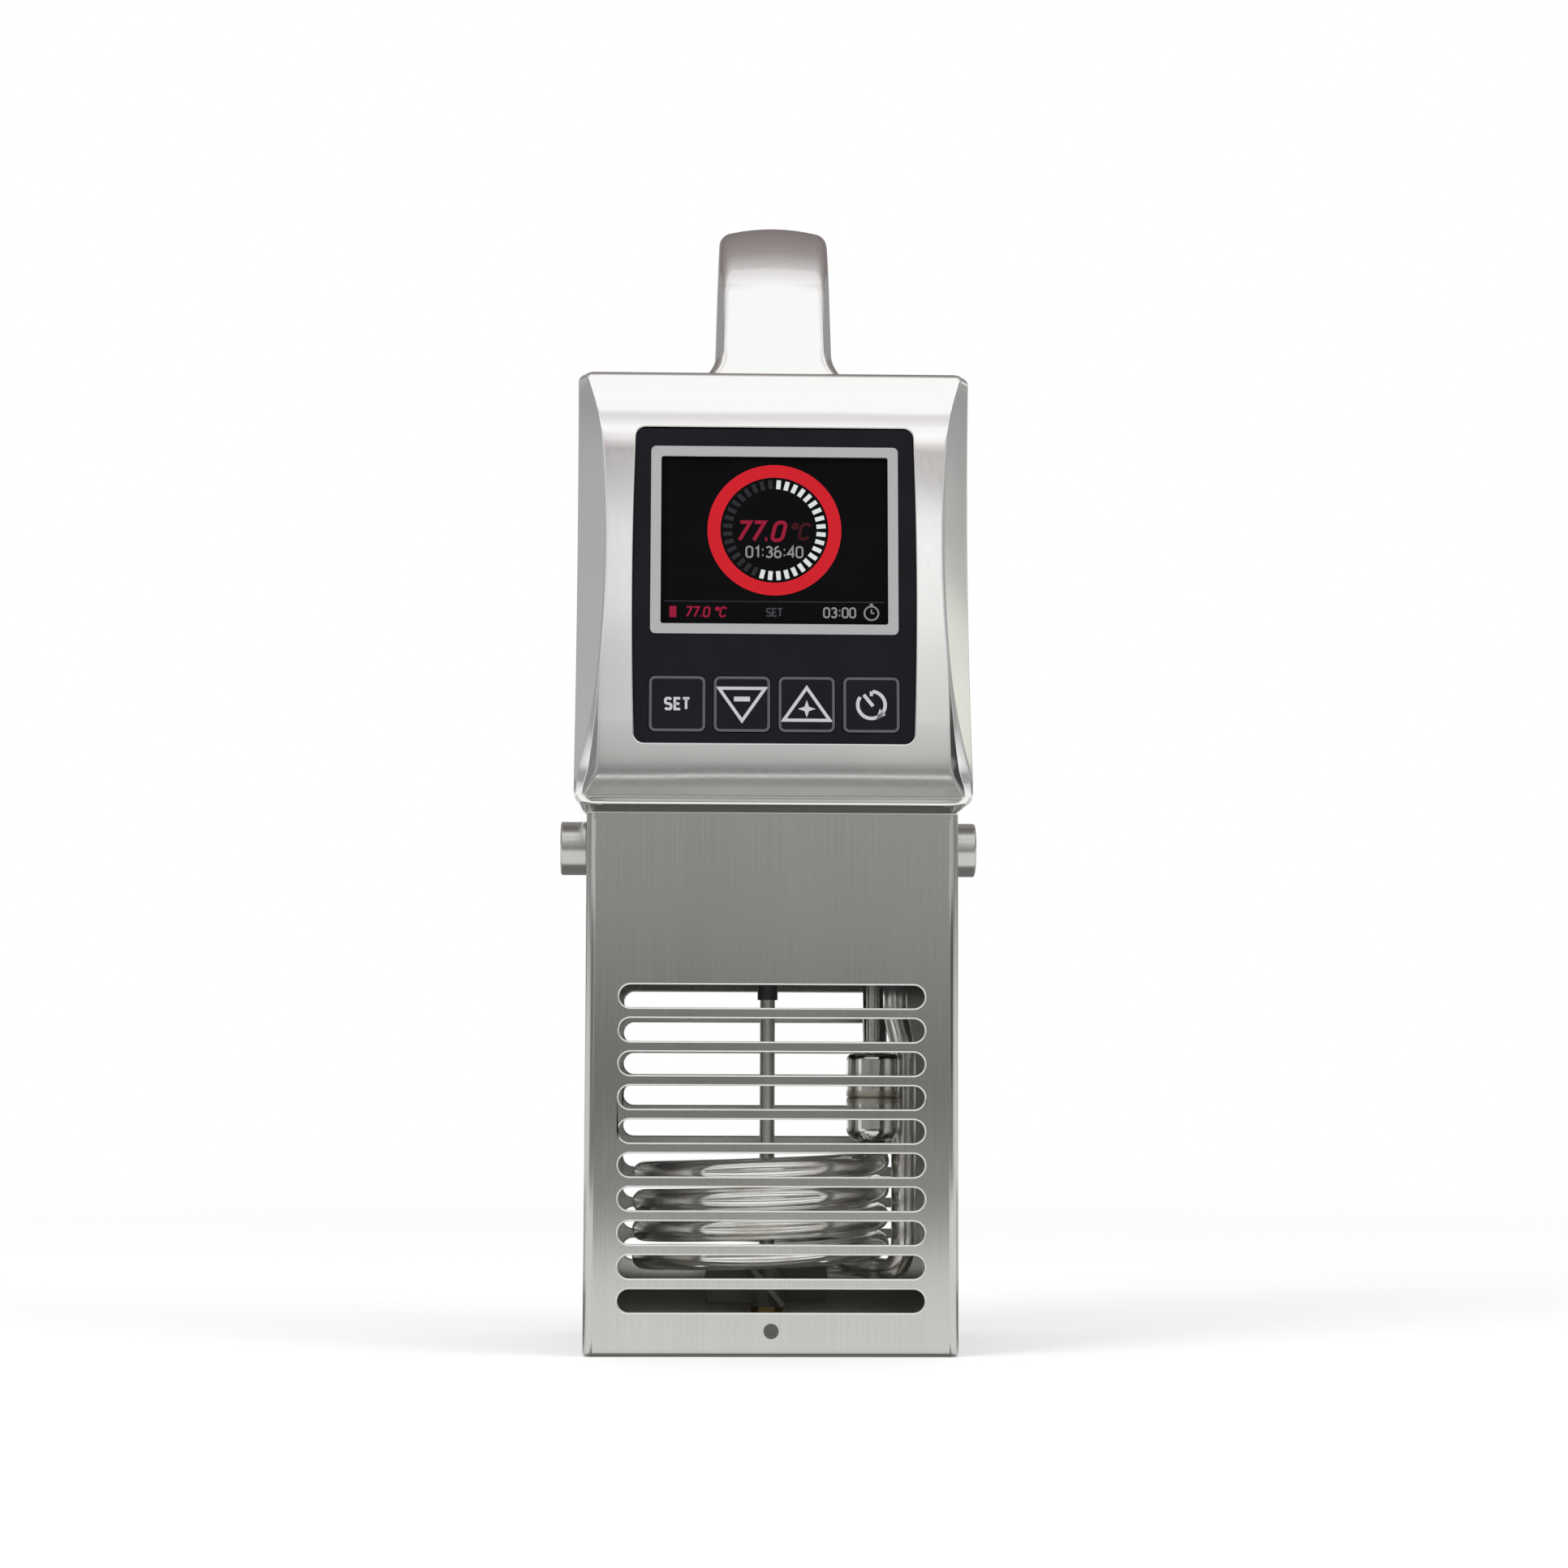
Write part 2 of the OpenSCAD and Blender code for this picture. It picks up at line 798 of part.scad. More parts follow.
module gland_seal() {
    color(rubber)
        translate([0, cover_y + cover_t, cover_mid_z])
            rotate([-90, 0, 0])
                difference() {
                    union() {
                        cylinder(r = gland_r - 3.1, h = gland_cap_l * 0.5 + 5);
                        cylinder(r = gland_bore / 2 + 0.9, h = gland_cap_l + 4.2);
                    }
                    translate([0, 0, -past])
                        cylinder(d = gland_bore, h = 2 * gland_cap_l);
                }
}

// Control panel ------------------------------------------------------------------------

module key_places() {
    for (i = [0:3])
        translate([(i - 1.5) * key_pitch, -key_drop, 0])
            children();
}

module post_places() {
    for (x = [-1, 1]) {
        translate([x * upper_post_x, upper_post_y, 0])
            children();
        translate([x * lower_post_x, lower_post_y, 0])
            children();
    }
}

module panel_plate() {
    color(dark_plastic)
        on_panel()
            difference() {
                union() {
                    translate([0, 0, -panel_back])
                        linear_extrude(panel_t)
                            panel_outline(0);
                    post_places()
                        translate([0, 0, -board_front])
                            cylinder(d = post_d, h = board_gap + 0.1);
                }
                // window, with a seat for the glass at the back
                translate([0, display_up, -panel_back - past]) {
                    slab(display_w, display_h, panel_t + 2 * past, 0.8);
                    slab(display_w + 2, display_h + 2, window_t + 0.2 + past, 0.8);
                }
                // shallow bed of the silver frame
                translate([0, display_up, -panel_sink - 0.6])
                    slab(display_w + 2 * bezel_w + 0.1, display_h + 2 * bezel_w + 0.1, 0.6 + past, 1.6);
                key_places()
                    translate([0, 0, -panel_back - past])
                        slab(key_w + 2 * key_gap, key_h + 2 * key_gap, panel_t + 2 * past, 2);
                post_places()
                    translate([0, 0, -board_front - past])
                        cylinder(d = post_bore + 0.1, h = board_gap + past);
            }
}

module display_bezel() {
    color("silver")
        on_panel()
            translate([0, display_up, -panel_sink - 0.6])
                difference() {
                    slab(display_w + 2 * bezel_w, display_h + 2 * bezel_w, 0.9, 1.6);
                    translate([0, 0, -past])
                        slab(display_w, display_h, 0.9 + 2 * past, 0.8);
                }
}

module display_window() {
    color([0.1, 0.1, 0.12, 0.5])
        on_panel()
            translate([0, display_up, -panel_back + 0.2])
                slab(display_w + 1.8, display_h + 1.8, window_t - seat, 0.8);
}

module display_module() {
    color("#101012")
        on_panel()
            translate([0, display_up, -panel_back - module_t - 0.1])
                slab(display_w + 2 * module_margin, display_h + 2 * module_margin, module_t, 1);
}

module control_board() {
    color(board_green)
        on_panel()
            translate([0, 0, -board_front - board_t])
                difference() {
                    slab(board_w, board_h, board_t, 2);
                    post_places()
                        translate([0, 0, -past])
                            cylinder(d = post_bore + 2 * screw_slip, h = board_t + 2 * past);
                }
}

module board_screws() {
    color(steel)
        on_panel()
            post_places()
                translate([0, 0, -board_front - board_t - seat])
                    rotate([180, 0, 0])
                        screw(post_bore, board_t + board_gap - 0.5, 3.6, 1.4);
}

module tact_switches() {
    color("#3a3a3e")
        on_panel()
            key_places()
                translate([0, 0, -board_front]) {
                    translate([-switch_w / 2, -switch_w / 2, 0])
                        cube([switch_w, switch_w, switch_body_t]);
                    cylinder(d = 3.4, h = switch_body_t + plunger_t);
                }
}

module key(i) {
    color(dark_plastic)
        on_panel()
            translate([(i - 1.5) * key_pitch, -key_drop, 0]) {
                translate([0, 0, -panel_back - seat - key_flange_t])
                    slab(key_w, key_h, key_flange_t + seat + panel_t + key_proud, 1.6);
                translate([0, 0, -panel_back - seat - key_flange_t])
                    slab(key_w + 2 * key_flange, key_h + 2 * key_flange, key_flange_t, 1.6);
                translate([0, 0, -key_reach])
                    cylinder(d = 4, h = key_reach - panel_back);
            }
}

module key_set() {
    key(0);
}

module key_down() {
    key(1);
}

module key_up() {
    key(2);
}

module key_timer() {
    key(3);
}

// Base plate and the boards behind it --------------------------------------------------

module heater_leg_places() {
    translate([front_leg_x, front_leg_y, 0])
        children();
    translate([back_leg_x, back_leg_y, 0])
        children();
}

module base_screw_places() {
    for (x = [-1, 1], y = [boss_front_y, boss_rear_y])
        translate([x * boss_x, y, base_z])
            children();
}

module bracket_screw_places() {
    for (x = [-1, 1])
        translate([x * bracket_screw_x, bracket_screw_y, base_z])
            children();
}

module motor_screw_places() {
    for (a = [45:90:315])
        rotate(a)
            translate([motor_screw_ring, 0, base_z])
                children();
}

module base_plate() {
    color(steel)
        difference() {
            translate([0, 0, base_z])
                linear_extrude(base_t)
                    seat_outline(0.2);
            translate([0, 0, base_z - past]) {
                cylinder(r = bearing_r + run_slip, h = base_t + 2 * past);
                heater_leg_places()
                    cylinder(r = tube_r + 0.3, h = base_t + 2 * past);
                translate([float_x, float_y, 0])
                    cylinder(r = stem_r + 0.1, h = base_t + 2 * past);
                translate([probe_x, probe_y, 0])
                    cylinder(r = probe_d / 2 + 0.1, h = base_t + 2 * past);
            }
            base_screw_places()
                translate([0, 0, -past]) {
                    cylinder(d = small_bore_d + 2 * screw_slip, h = base_t + 2 * past);
                    cylinder(d = small_head_d + 4 * screw_slip, h = small_head_h + 0.2 + past);
                }
            bracket_screw_places()
                translate([0, 0, -past])
                    cylinder(d = bracket_screw_d + 2 * screw_slip, h = base_t + 2 * past);
            motor_screw_places()
                translate([0, 0, -past])
                    cylinder(d = 4 + 2 * screw_slip, h = base_t + 2 * past);
        }
}

module base_gasket() {
    color(rubber)
        translate([0, 0, gasket_z])
            difference() {
                linear_extrude(gasket_t)
                    difference() {
                        seat_outline(0.3);
                        seat_outline(ledge_w - 0.6);
                    }
                base_screw_places()
                    translate([0, 0, -base_z - past])
                        cylinder(d = small_bore_d + 0.6, h = gasket_t + 2 * past);
            }
}

module base_plate_screws() {
    color(steel)
        base_screw_places()
            translate([0, 0, small_head_h + 0.2 - seat])
                rotate([180, 0, 0])
                    screw(small_screw_d, base_t + gasket_t + 5, small_head_d, small_head_h);
}

// The power board stands upright in front of the rear cover, on two angle brackets
power_board_y = head_rear - head_wall - 14;
power_board_w = guard_w - 21;
power_board_h = 50;
power_board_z = gasket_z + 6;
relay = [20, 16, 16];
transformer = [22, 14, 28];
capacitor_d = 11;
capacitor_l = 14;
sink = [30, 4, 18];
fin_t = 2;
fin_l = 10;
fin_count = 6;
part_in = 8;
angle_w = 12;
angle_t = 2;
angle_h = 22;
angle_in = 12;

module power_board() {
    color(board_green)
        translate([-power_board_w / 2, power_board_y, power_board_z])
            cube([power_board_w, board_t, power_board_h]);
}

// Relay, capacitors, transformer and the heatsink of the heater's switch
module power_parts() {
    color("#4a4f58")
        translate([0, power_board_y, power_board_z]) {
            translate([part_in - power_board_w / 2, -relay.y, 6])
                cube(relay);
            translate([power_board_w / 2 - part_in + 4 - transformer.x, -transformer.y, part_in])
                cube(transformer);
            for (x = [-12, 2])
                translate([x, 0, capacitor_d + 3])
                    rotate([90, 0, 0])
                        cylinder(d = capacitor_d, h = capacitor_l);
            translate([part_in - power_board_w / 2, -sink.y, 6 + relay.z + 6]) {
                cube(sink);
                for (i = [0:fin_count - 1])
                    translate([i * (sink.x - fin_t) / (fin_count - 1), -fin_l, 0])
                        cube([fin_t, fin_l + 0.1, sink.z]);
            }
        }
}

module board_brackets() {
    color(steel)
        for (x = [-1, 1])
            translate([
                x * (power_board_w / 2 - angle_in) - angle_w / 2, power_board_y + board_t, gasket_z
            ]) {
                cube([angle_w, angle_t, angle_h]);
                translate([0, -board_t - 8, 0])
                    cube([angle_w, board_t + 8 + angle_t, angle_t]);
            }
}

// Motor and shaft ----------------------------------------------------------------------

module motor_mount() {
    color("#9a9ca0")
        translate([0, 0, gasket_z])
            difference() {
                cylinder(r = motor_r + 3, h = mount_t);
                translate([0, 0, -past])
                    cylinder(r = bearing_r + run_slip, h = bearing_h + 0.3 + past);
                translate([0, 0, -past])
                    cylinder(r = shaft_r + 2, h = mount_t + 2 * past);
                motor_screw_places()
                    translate([0, 0, -base_z - past])
                        cylinder(d = 4.2, h = mount_t + 2 * past);
            }
}

module motor_screws() {
    color(steel)
        motor_screw_places()
            translate([0, 0, -seat])
                rotate([180, 0, 0])
                    screw(4, base_t + mount_t - 1, 7, 2.4);
}

module motor_case() {
    color("#8d9096")
        translate([0, 0, motor_z])
            difference() {
                cylinder(r = motor_r, h = motor_h);
                translate([0, 0, motor_wall + 1])
                    cylinder(r = motor_r - motor_wall, h = motor_h - motor_end_t - motor_wall - 1);
                translate([0, 0, -past])
                    cylinder(r = shaft_r + 0.3, h = motor_wall + 1 + 2 * past);
                translate([0, 0, motor_h - motor_end_t - past])
                    cylinder(r = shaft_r + run_slip, h = motor_end_t - 2 + past);
            }
}

module motor_stator() {
    color("#a5622f")
        translate([0, 0, motor_z + motor_wall + 1 + 4])
            ring(motor_r - motor_wall - 0.1, rotor_r + air_gap, motor_h - motor_end_t - motor_wall - 9);
}

module motor_rotor() {
    color("#55585e")
        translate([0, 0, motor_z + motor_wall + 1 + 6])
            ring(rotor_r, shaft_r + 0.01, motor_h - motor_end_t - motor_wall - 13);
}

module shaft_bearing() {
    color(steel)
        translate([0, 0, gasket_z + 0.1])
            ring(bearing_r, shaft_r + run_slip, bearing_h);
}

module shaft_seal() {
    color(rubber)
        translate([0, 0, base_z])
            ring(bearing_r, shaft_r + 0.05, base_t);
}

module shaft_sleeve() {
    color(rubber)
        difference() {
            union() {
                translate([0, 0, sleeve_z])
                    cylinder(r = shaft_r + 0.1 + sleeve_wall, h = base_z - sleeve_z);
                translate([0, 0, base_z - 3])
                    cylinder(r = bearing_r - 1, h = 3);
            }
            translate([0, 0, sleeve_z - past])
                cylinder(r = shaft_r + 0.1, h = base_z - sleeve_z + 2 * past);
        }
}

module agitator_shaft() {
    color(steel)
        translate([0, 0, shaft_bottom])
            cylinder(r = shaft_r, h = motor_top - 2.2 - shaft_bottom);
}

module impeller() {
    color(steel)
        translate([0, 0, impeller_z])
            difference() {
                union() {
                    cylinder(r = shaft_r + 3.5, h = impeller_h);
                    intersection() {
                        cylinder(d = impeller_d, h = impeller_h);
                        for (i = [0:blade_count - 1])
                            rotate(i * 360 / blade_count)
                                translate([impeller_d / 4 + 1, 0, impeller_h / 2])
                                    rotate([40, 0, 0])
                                        cube([impeller_d / 2, 1.6, impeller_h * 1.1], center = true);
                    }
                }
                translate([0, 0, -past])
                    cylinder(r = shaft_r + 0.01, h = impeller_h + 2 * past);
            }
}

module impeller_nut() {
    color(brass)
        translate([0, 0, impeller_z - nut_h])
            difference() {
                union() {
                    translate([0, 0, 1])
                        cylinder(d = (shaft_d + 4) / cos(30), h = nut_h - 1, $fn = 6);
                    cylinder(d = shaft_d + 2, h = 2);
                }
                translate([0, 0, 1.45])
                    cylinder(r = shaft_r + 0.01, h = nut_h);
            }
}

// Heater -------------------------------------------------------------------------------

function bezier(a, b, c, d, n) = [
    for (i = [1:n])
        let (t = i / n, s = 1 - t)
        s * s * s * a + 3 * s * s * t * b + 3 * s * t * t * c + t * t * t * d
];

// Place on the coil at angle a, counted from the front and rising anticlockwise
function coil_point(a) = [
    coil_x + coil_r * cos(a - 90),
    coil_r * sin(a - 90),
    coil_z + coil_pitch * a / 360
];

coil_start = -252;
coil_end = 360 * (coil_turns - 1) + 90;
coil_lead = [-sin(coil_start - 90), cos(coil_start - 90), 0];
leg_foot = [low_leg_x, front_leg_y, coil_z + 6];
coil_foot = coil_point(coil_start);
coil_head = coil_point(coil_end);
bend_k = 0.55;

// Middle line of the heater tube: front leg, coil, back leg
HEATER_PATH = concat(
    [[front_leg_x, front_leg_y, leg_top], [front_leg_x, front_leg_y, sleeve_z]],
    bezier(
        [front_leg_x, front_leg_y, sleeve_z], [front_leg_x, front_leg_y, sleeve_z - 9],
        [low_leg_x, front_leg_y, sleeve_z - 11], [low_leg_x, front_leg_y, sleeve_z - 20], 6
    ),
    [leg_foot],
    bezier(
        leg_foot, leg_foot - [0, 0, 16], coil_foot - coil_lead * 14, coil_foot, 10
    ),
    [for (a = [coil_start + 12:12:coil_end]) coil_point(a)],
    bezier(
        coil_head, coil_head + [0, bend_r * bend_k, 0.2],
        coil_head + [0, bend_r, bend_r * (1 - bend_k)], coil_head + [0, bend_r, bend_r], 6
    ),
    [[coil_head.x, coil_head.y + bend_r, leg_top]]
);

function path_way(p, i) = unit(p[min(i + 1, len(p) - 1)] - p[max(i - 1, 0)]);

// Sweeps a round section along a path; each ring's first spoke is carried on from the last
module tube(path, r, sides) {
    n = len(path);
    ways = [for (i = [0:n - 1]) path_way(path, i)];
    spokes = [
        for (
            i = 0, s = [0, 1, 0];
            i < n;
            i = i + 1,
            s = i < n ? unit(s - ways[i] * (s * ways[i])) : s
        ) s
    ];
    points = [
        for (i = [0:n - 1], k = [0:sides - 1])
            path[i] + r * (cos(k * 360 / sides) * spokes[i]
                + sin(k * 360 / sides) * cross(ways[i], spokes[i]))
    ];
    walls = [
        for (i = [0:n - 2], k = [0:sides - 1])
            let (m = (k + 1) % sides)
            each [
                [i * sides + k, (i + 1) * sides + k, (i + 1) * sides + m],
                [i * sides + k, (i + 1) * sides + m, i * sides + m]
            ]
    ];
    caps = [
        [for (k = [0:sides - 1]) k],
        [for (k = [sides - 1:-1:0]) (n - 1) * sides + k]
    ];
    polyhedron(points, concat(walls, caps), convexity = 10);
}

module heater_coil() {
    color(steel)
        tube(HEATER_PATH, tube_r, tube_sides);
}

// Nut and collar that hold each heater leg in the base plate
module heater_glands() {
    color(brass)
        heater_leg_places()
            translate([0, 0, gasket_z]) {
                hex_nut(gland_nut_w, nut_t, tube_d + 0.2);
                translate([0, 0, -base_t - 2])
                    ring(tube_r + 2.4, tube_r + 0.1, 2);
            }
}

// Probe and float ----------------------------------------------------------------------

module temperature_probe() {
    color(steel)
        translate([probe_x, probe_y, probe_z]) {
            cylinder(d = probe_d, h = gasket_z + 14 - probe_z);
            sphere(d = probe_d);
        }
}

module probe_gland() {
    color(brass)
        translate([probe_x, probe_y, gasket_z]) {
            hex_nut(probe_nut_w, nut_t, probe_d + 0.1);
            translate([0, 0, -base_t - 2])
                ring(probe_d / 2 + 2.5, probe_d / 2 + 0.05, 2);
        }
}

module float_stem() {
    color(steel)
        translate([float_x, float_y, 0]) {
            translate([0, 0, float_z - 3])
                cylinder(r = stem_r, h = gasket_z + 10 - float_z + 3);
            translate([0, 0, gasket_z])
                hex_nut(stem_nut_w, nut_t - 1, stem_d - 0.02);
            translate([0, 0, base_z - 2])
                ring(stem_r + 2, stem_r - 0.01, 2);
        }
}

module float_stops() {
    color("#34343a")
        translate([float_x, float_y, 0])
            for (z = [float_z - stop_t - seat, float_z + float_h + float_travel + seat])
                translate([0, 0, z])
                    ring(stop_r, stem_r + 0.01, stop_t);
}

module level_float() {
    r = float_d / 2;
    bore = stem_r + float_slip;
    color(steel)
        translate([float_x, float_y, float_z])
            rotate_extrude()
                polygon(round_poly(
                    [
                        [bore, 0], [r, 0], [r, float_h / 2 - 0.5], [r - 0.5, float_h / 2],
                        [r, float_h / 2 + 0.5], [r, float_h], [bore, float_h]
                    ],
                    [0, 4, 0, 0, 0, 2, 0]
                ));
}

// Collar and side knobs ----------------------------------------------------------------

module on_side(side) {
    translate([0, 0, side_knob_z])
        rotate([0, side * 90, 0])
            children();
}

module mounting_collar() {
    r = max(guard_bend_r - guard_wall - collar_gap, 0.8);
    color(steel)
        difference() {
            translate([0, 0, base_z - collar_h])
                slab(collar_w, collar_d, collar_h, r);
            translate([0, 0, base_z - collar_h - past])
                slab(collar_w - 2 * collar_wall, collar_d - 2 * collar_wall,
                    collar_h + 2 * past, max(r - collar_wall, 0.4));
            for (side = [-1, 1])
                on_side(side)
                    cylinder(d = stud_d + 0.6, h = guard_w);
        }
}

module knob_bushes() {
    color(steel)
        for (side = [-1, 1])
            on_side(side)
                translate([0, 0, collar_w / 2 - collar_wall - knob_bush_l])
                    ring(stud_d / 2 + 3, stud_d / 2 + run_slip, knob_bush_l);
}

module side_washer(side) {
    color(steel)
        on_side(side)
            translate([0, 0, guard_w / 2 + seat])
                ring(side_knob_d / 2 - 1.2, stud_d / 2 + run_slip, washer_t);
}

module side_knob(side) {
    face = guard_w / 2 + washer_t + 2 * seat;
    r = side_knob_d / 2;
    color(steel)
        on_side(side) {
            translate([0, 0, stud_in])
                cylinder(d = stud_d, h = face - stud_in + 0.1);
            translate([0, 0, face])
                rotate_extrude()
                    polygon(round_poly(
                        [[0, 0], [r, 0], [r, side_knob_l], [0, side_knob_l]],
                        [0, 0.4, 0.8, 0]
                    ));
        }
}

module left_knob() {
    side_knob(-1);
}

module right_knob() {
    side_knob(1);
}

module left_washer() {
    side_washer(-1);
}

module right_washer() {
    side_washer(1);
}

// Guard --------------------------------------------------------------------------------

module slot_row(first) {
    for (i = [first:slot_count - 1])
        translate([0, slot_foot + i * slot_pitch])
            round_rect(slot_l, slot_h, slot_h / 2 - 0.01);
}

module guard_screw_places() {
    for (turn = [0, 180])
        rotate(turn)
            translate([0, -guard_d / 2, guard_screw_z])
                rotate([90, 0, 0])
                    children();
}

module guard_shell() {
    stud_slot = stud_d + 0.6;
    color(steel)
        difference() {
            slab(guard_w, guard_d, guard_h, guard_bend_r);
            translate([0, 0, -past])
                slab(guard_w - 2 * guard_wall, guard_d - 2 * guard_wall, guard_h + 2 * past,
                    guard_bend_r - guard_wall);
            translate([0, -guard_d / 2 + guard_wall + past, 0])
                rotate([90, 0, 0])
                    linear_extrude(guard_wall + 2 * past)
                        slot_row(0);
            translate([0, guard_d / 2 + past, 0])
                rotate([90, 0, 0])
                    linear_extrude(guard_wall + 2 * past)
                        slot_row(1);
            // open-topped notches that clear the knob studs when the guard comes off
            for (side = [-1, 1])
                on_side(side) {
                    cylinder(d = stud_slot, h = guard_w);
                    translate([-side * head_h / 2, 0, guard_w / 2])
                        cube([head_h, stud_slot, guard_w], center = true);
                }
            guard_screw_places()
                translate([0, 0, -guard_wall - past])
                    cylinder(d = guard_screw_d + 2 * screw_slip, h = guard_wall + 2 * past);
        }
}

module guard_bottom() {
    w = guard_w - 2 * guard_wall - 0.2;
    d = guard_d - 2 * guard_wall - 0.2;
    tab_h = guard_screw_z + guard_screw_d + 1;
    color(steel)
        difference() {
            union() {
                slab(w, d, bottom_t, guard_bend_r - guard_wall);
                for (turn = [0, 180])
                    rotate(turn)
                        translate([-10, -d / 2, 0])
                            cube([20, bottom_t, tab_h]);
            }
            for (x = [-1, 1], y = [-1, 1])
                translate([x * guard_w * 0.3, y * guard_d * 0.3, -past])
                    cylinder(d = drain_d, h = bottom_t + 2 * past);
            guard_screw_places()
                translate([0, 0, -guard_wall - bottom_t - past])
                    cylinder(d = guard_screw_d + 0.05, h = guard_wall + bottom_t + past);
        }
}

module guard_screws() {
    color(steel)
        guard_screw_places()
            translate([0, 0, seat])
                screw(guard_screw_d, guard_wall + bottom_t + 2, guard_screw_d * 1.55, 0.9);
}

// Clamp --------------------------------------------------------------------------------

module on_clamp(y) {
    translate([0, y, clamp_z])
        rotate([-90, 0, 0])
            children();
}

module clamp_bracket() {
    low = clamp_z - bush_d / 2 - 7;
    color(steel)
        difference() {
            across(bracket_w)
                polygon(round_poly(
                    [
                        [bracket_in_y, base_z - bracket_t], [arm_y, base_z - bracket_t],
                        [arm_y, low], [arm_y + bracket_t, low],
                        [arm_y + bracket_t, base_z], [bracket_in_y, base_z]
                    ],
                    [0, 2, 0, 0, 2 + bracket_t, 0]
                ));
            on_clamp(arm_y - past)
                cylinder(d = bush_d - 4 + 0.1, h = bracket_t + 2 * past);
            bracket_screw_places()
                translate([0, 0, -bracket_t - past])
                    cylinder(d = bracket_screw_d + 2 * screw_slip, h = bracket_t + 2 * past);
        }
}

module clamp_bracket_screws() {
    color(steel)
        bracket_screw_places()
            translate([0, 0, -bracket_t - seat])
                rotate([180, 0, 0])
                    screw(bracket_screw_d, bracket_t + base_t + 3, bracket_screw_d * 1.75, 2.6);
}

module clamp_bush() {
    color(brass)
        on_clamp(bush_y)
            difference() {
                union() {
                    cylinder(d = bush_d, h = arm_y - bush_y);
                    cylinder(d = bush_d - 4, h = bush_l);
                    translate([0, 0, arm_y - bush_y + bracket_t])
                        cylinder(d = bush_d, h = bush_l - (arm_y - bush_y) - bracket_t);
                }
                translate([0, 0, -past])
                    cylinder(d = clamp_screw_d + 2 * run_slip, h = bush_l + 2 * past);
            }
}

module clamp_spindle() {
    color(steel)
        union() {
            on_clamp(pad_y + pad_t + 0.3)
                cylinder(d = clamp_screw_d, h = knob_y - pad_y - pad_t - 0.3 + clamp_knob_l * 0.6);
            on_clamp(pad_y + pad_t - spindle_tip)
                cylinder(r = neck_r, h = spindle_tip + 1);
        }
}

module clamp_knob() {
    flutes = 8;
    color(dark_plastic)
        on_clamp(knob_y)
            difference() {
                rotate_extrude()
                    polygon(round_poly(
                        [
                            [0, 0], [clamp_knob_d / 2 - 4, 0], [clamp_knob_d / 2, 3],
                            [clamp_knob_d / 2, clamp_knob_l], [0, clamp_knob_l]
                        ],
                        [0, 1, 1, 2, 0]
                    ));
                for (i = [0:flutes - 1])
                    rotate(i * 360 / flutes)
                        translate([clamp_knob_d / 2 + 2, 0, -past])
                            cylinder(r = 4, h = clamp_knob_l + 2 * past);
                translate([0, 0, -past])
                    cylinder(d = clamp_screw_d + 0.02, h = clamp_knob_l * 0.6 + past);
            }
}

module clamp_pad() {
    color(rubber)
        on_clamp(pad_y)
            difference() {
                cylinder(d = pad_d, h = pad_t);
                translate([0, 0, pad_t - spindle_tip - 0.1])
                    cylinder(r = neck_r + 0.1, h = spindle_tip + past);
            }
}

head_shell();
handle();
handle_screws();
rear_cover();
rear_cover_gasket();
rear_cover_screws();
panel_plate();
display_bezel();
display_window();
display_module();
control_board();
tact_switches();
board_screws();
key_set();
key_down();
key_up();
key_timer();
base_plate();
base_gasket();
base_plate_screws();
power_board();
power_parts();
board_brackets();
motor_mount();
motor_case();
motor_stator();
motor_rotor();
motor_screws();
shaft_bearing();
shaft_seal();
shaft_sleeve();
agitator_shaft();
impeller();
impeller_nut();
heater_coil();
heater_glands();
temperature_probe();
probe_gland();
float_stem();
float_stops();
level_float();
mounting_collar();
knob_bushes();
left_knob();
right_knob();
left_washer();
right_washer();
guard_shell();
guard_bottom();
guard_screws();
clamp_bracket();
clamp_bracket_screws();
clamp_bush();
clamp_spindle();
clamp_knob();
clamp_pad();
gland_body();
gland_cap();
gland_seal();
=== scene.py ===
"""A sous vide circulator, dressed in the order in which it is put together.

Everything is in metres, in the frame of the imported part: the front is -Y, Z is up, and
the guard stands on Z = 0.
"""

from math import cos, pi, radians, sin, tan

import bmesh
import bpy
import numpy as np
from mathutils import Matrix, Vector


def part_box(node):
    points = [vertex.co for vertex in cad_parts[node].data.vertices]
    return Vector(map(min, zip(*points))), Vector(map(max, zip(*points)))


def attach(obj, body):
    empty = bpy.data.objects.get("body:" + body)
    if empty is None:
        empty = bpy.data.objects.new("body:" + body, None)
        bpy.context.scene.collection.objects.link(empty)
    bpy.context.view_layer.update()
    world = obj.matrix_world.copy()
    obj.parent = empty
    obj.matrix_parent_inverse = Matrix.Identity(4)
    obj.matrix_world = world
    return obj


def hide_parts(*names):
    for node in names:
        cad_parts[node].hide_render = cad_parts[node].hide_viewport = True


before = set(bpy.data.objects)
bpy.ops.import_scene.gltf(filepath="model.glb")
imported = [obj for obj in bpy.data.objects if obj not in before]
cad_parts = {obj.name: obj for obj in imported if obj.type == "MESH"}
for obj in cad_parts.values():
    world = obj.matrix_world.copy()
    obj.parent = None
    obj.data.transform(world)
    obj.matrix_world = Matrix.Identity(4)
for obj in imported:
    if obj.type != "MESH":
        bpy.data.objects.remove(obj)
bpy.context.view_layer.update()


# Camera ------------------------------------------------------------------------------
# A long lens a good metre away, a little left of the circulator and at the height of
# its water slots, looking slightly up at the display.

camera_data = bpy.data.cameras.new("camera")
camera_data.lens = 79.2
camera_data.sensor_width = 36
camera_data.clip_start = 0.05
camera = bpy.data.objects.new("camera", camera_data)
camera.location = (-0.0304, -1.1354, 0.0896)
camera.rotation_euler = (radians(94.69), radians(-0.2), radians(-1.81))
bpy.context.collection.objects.link(camera)
bpy.context.scene.camera = camera


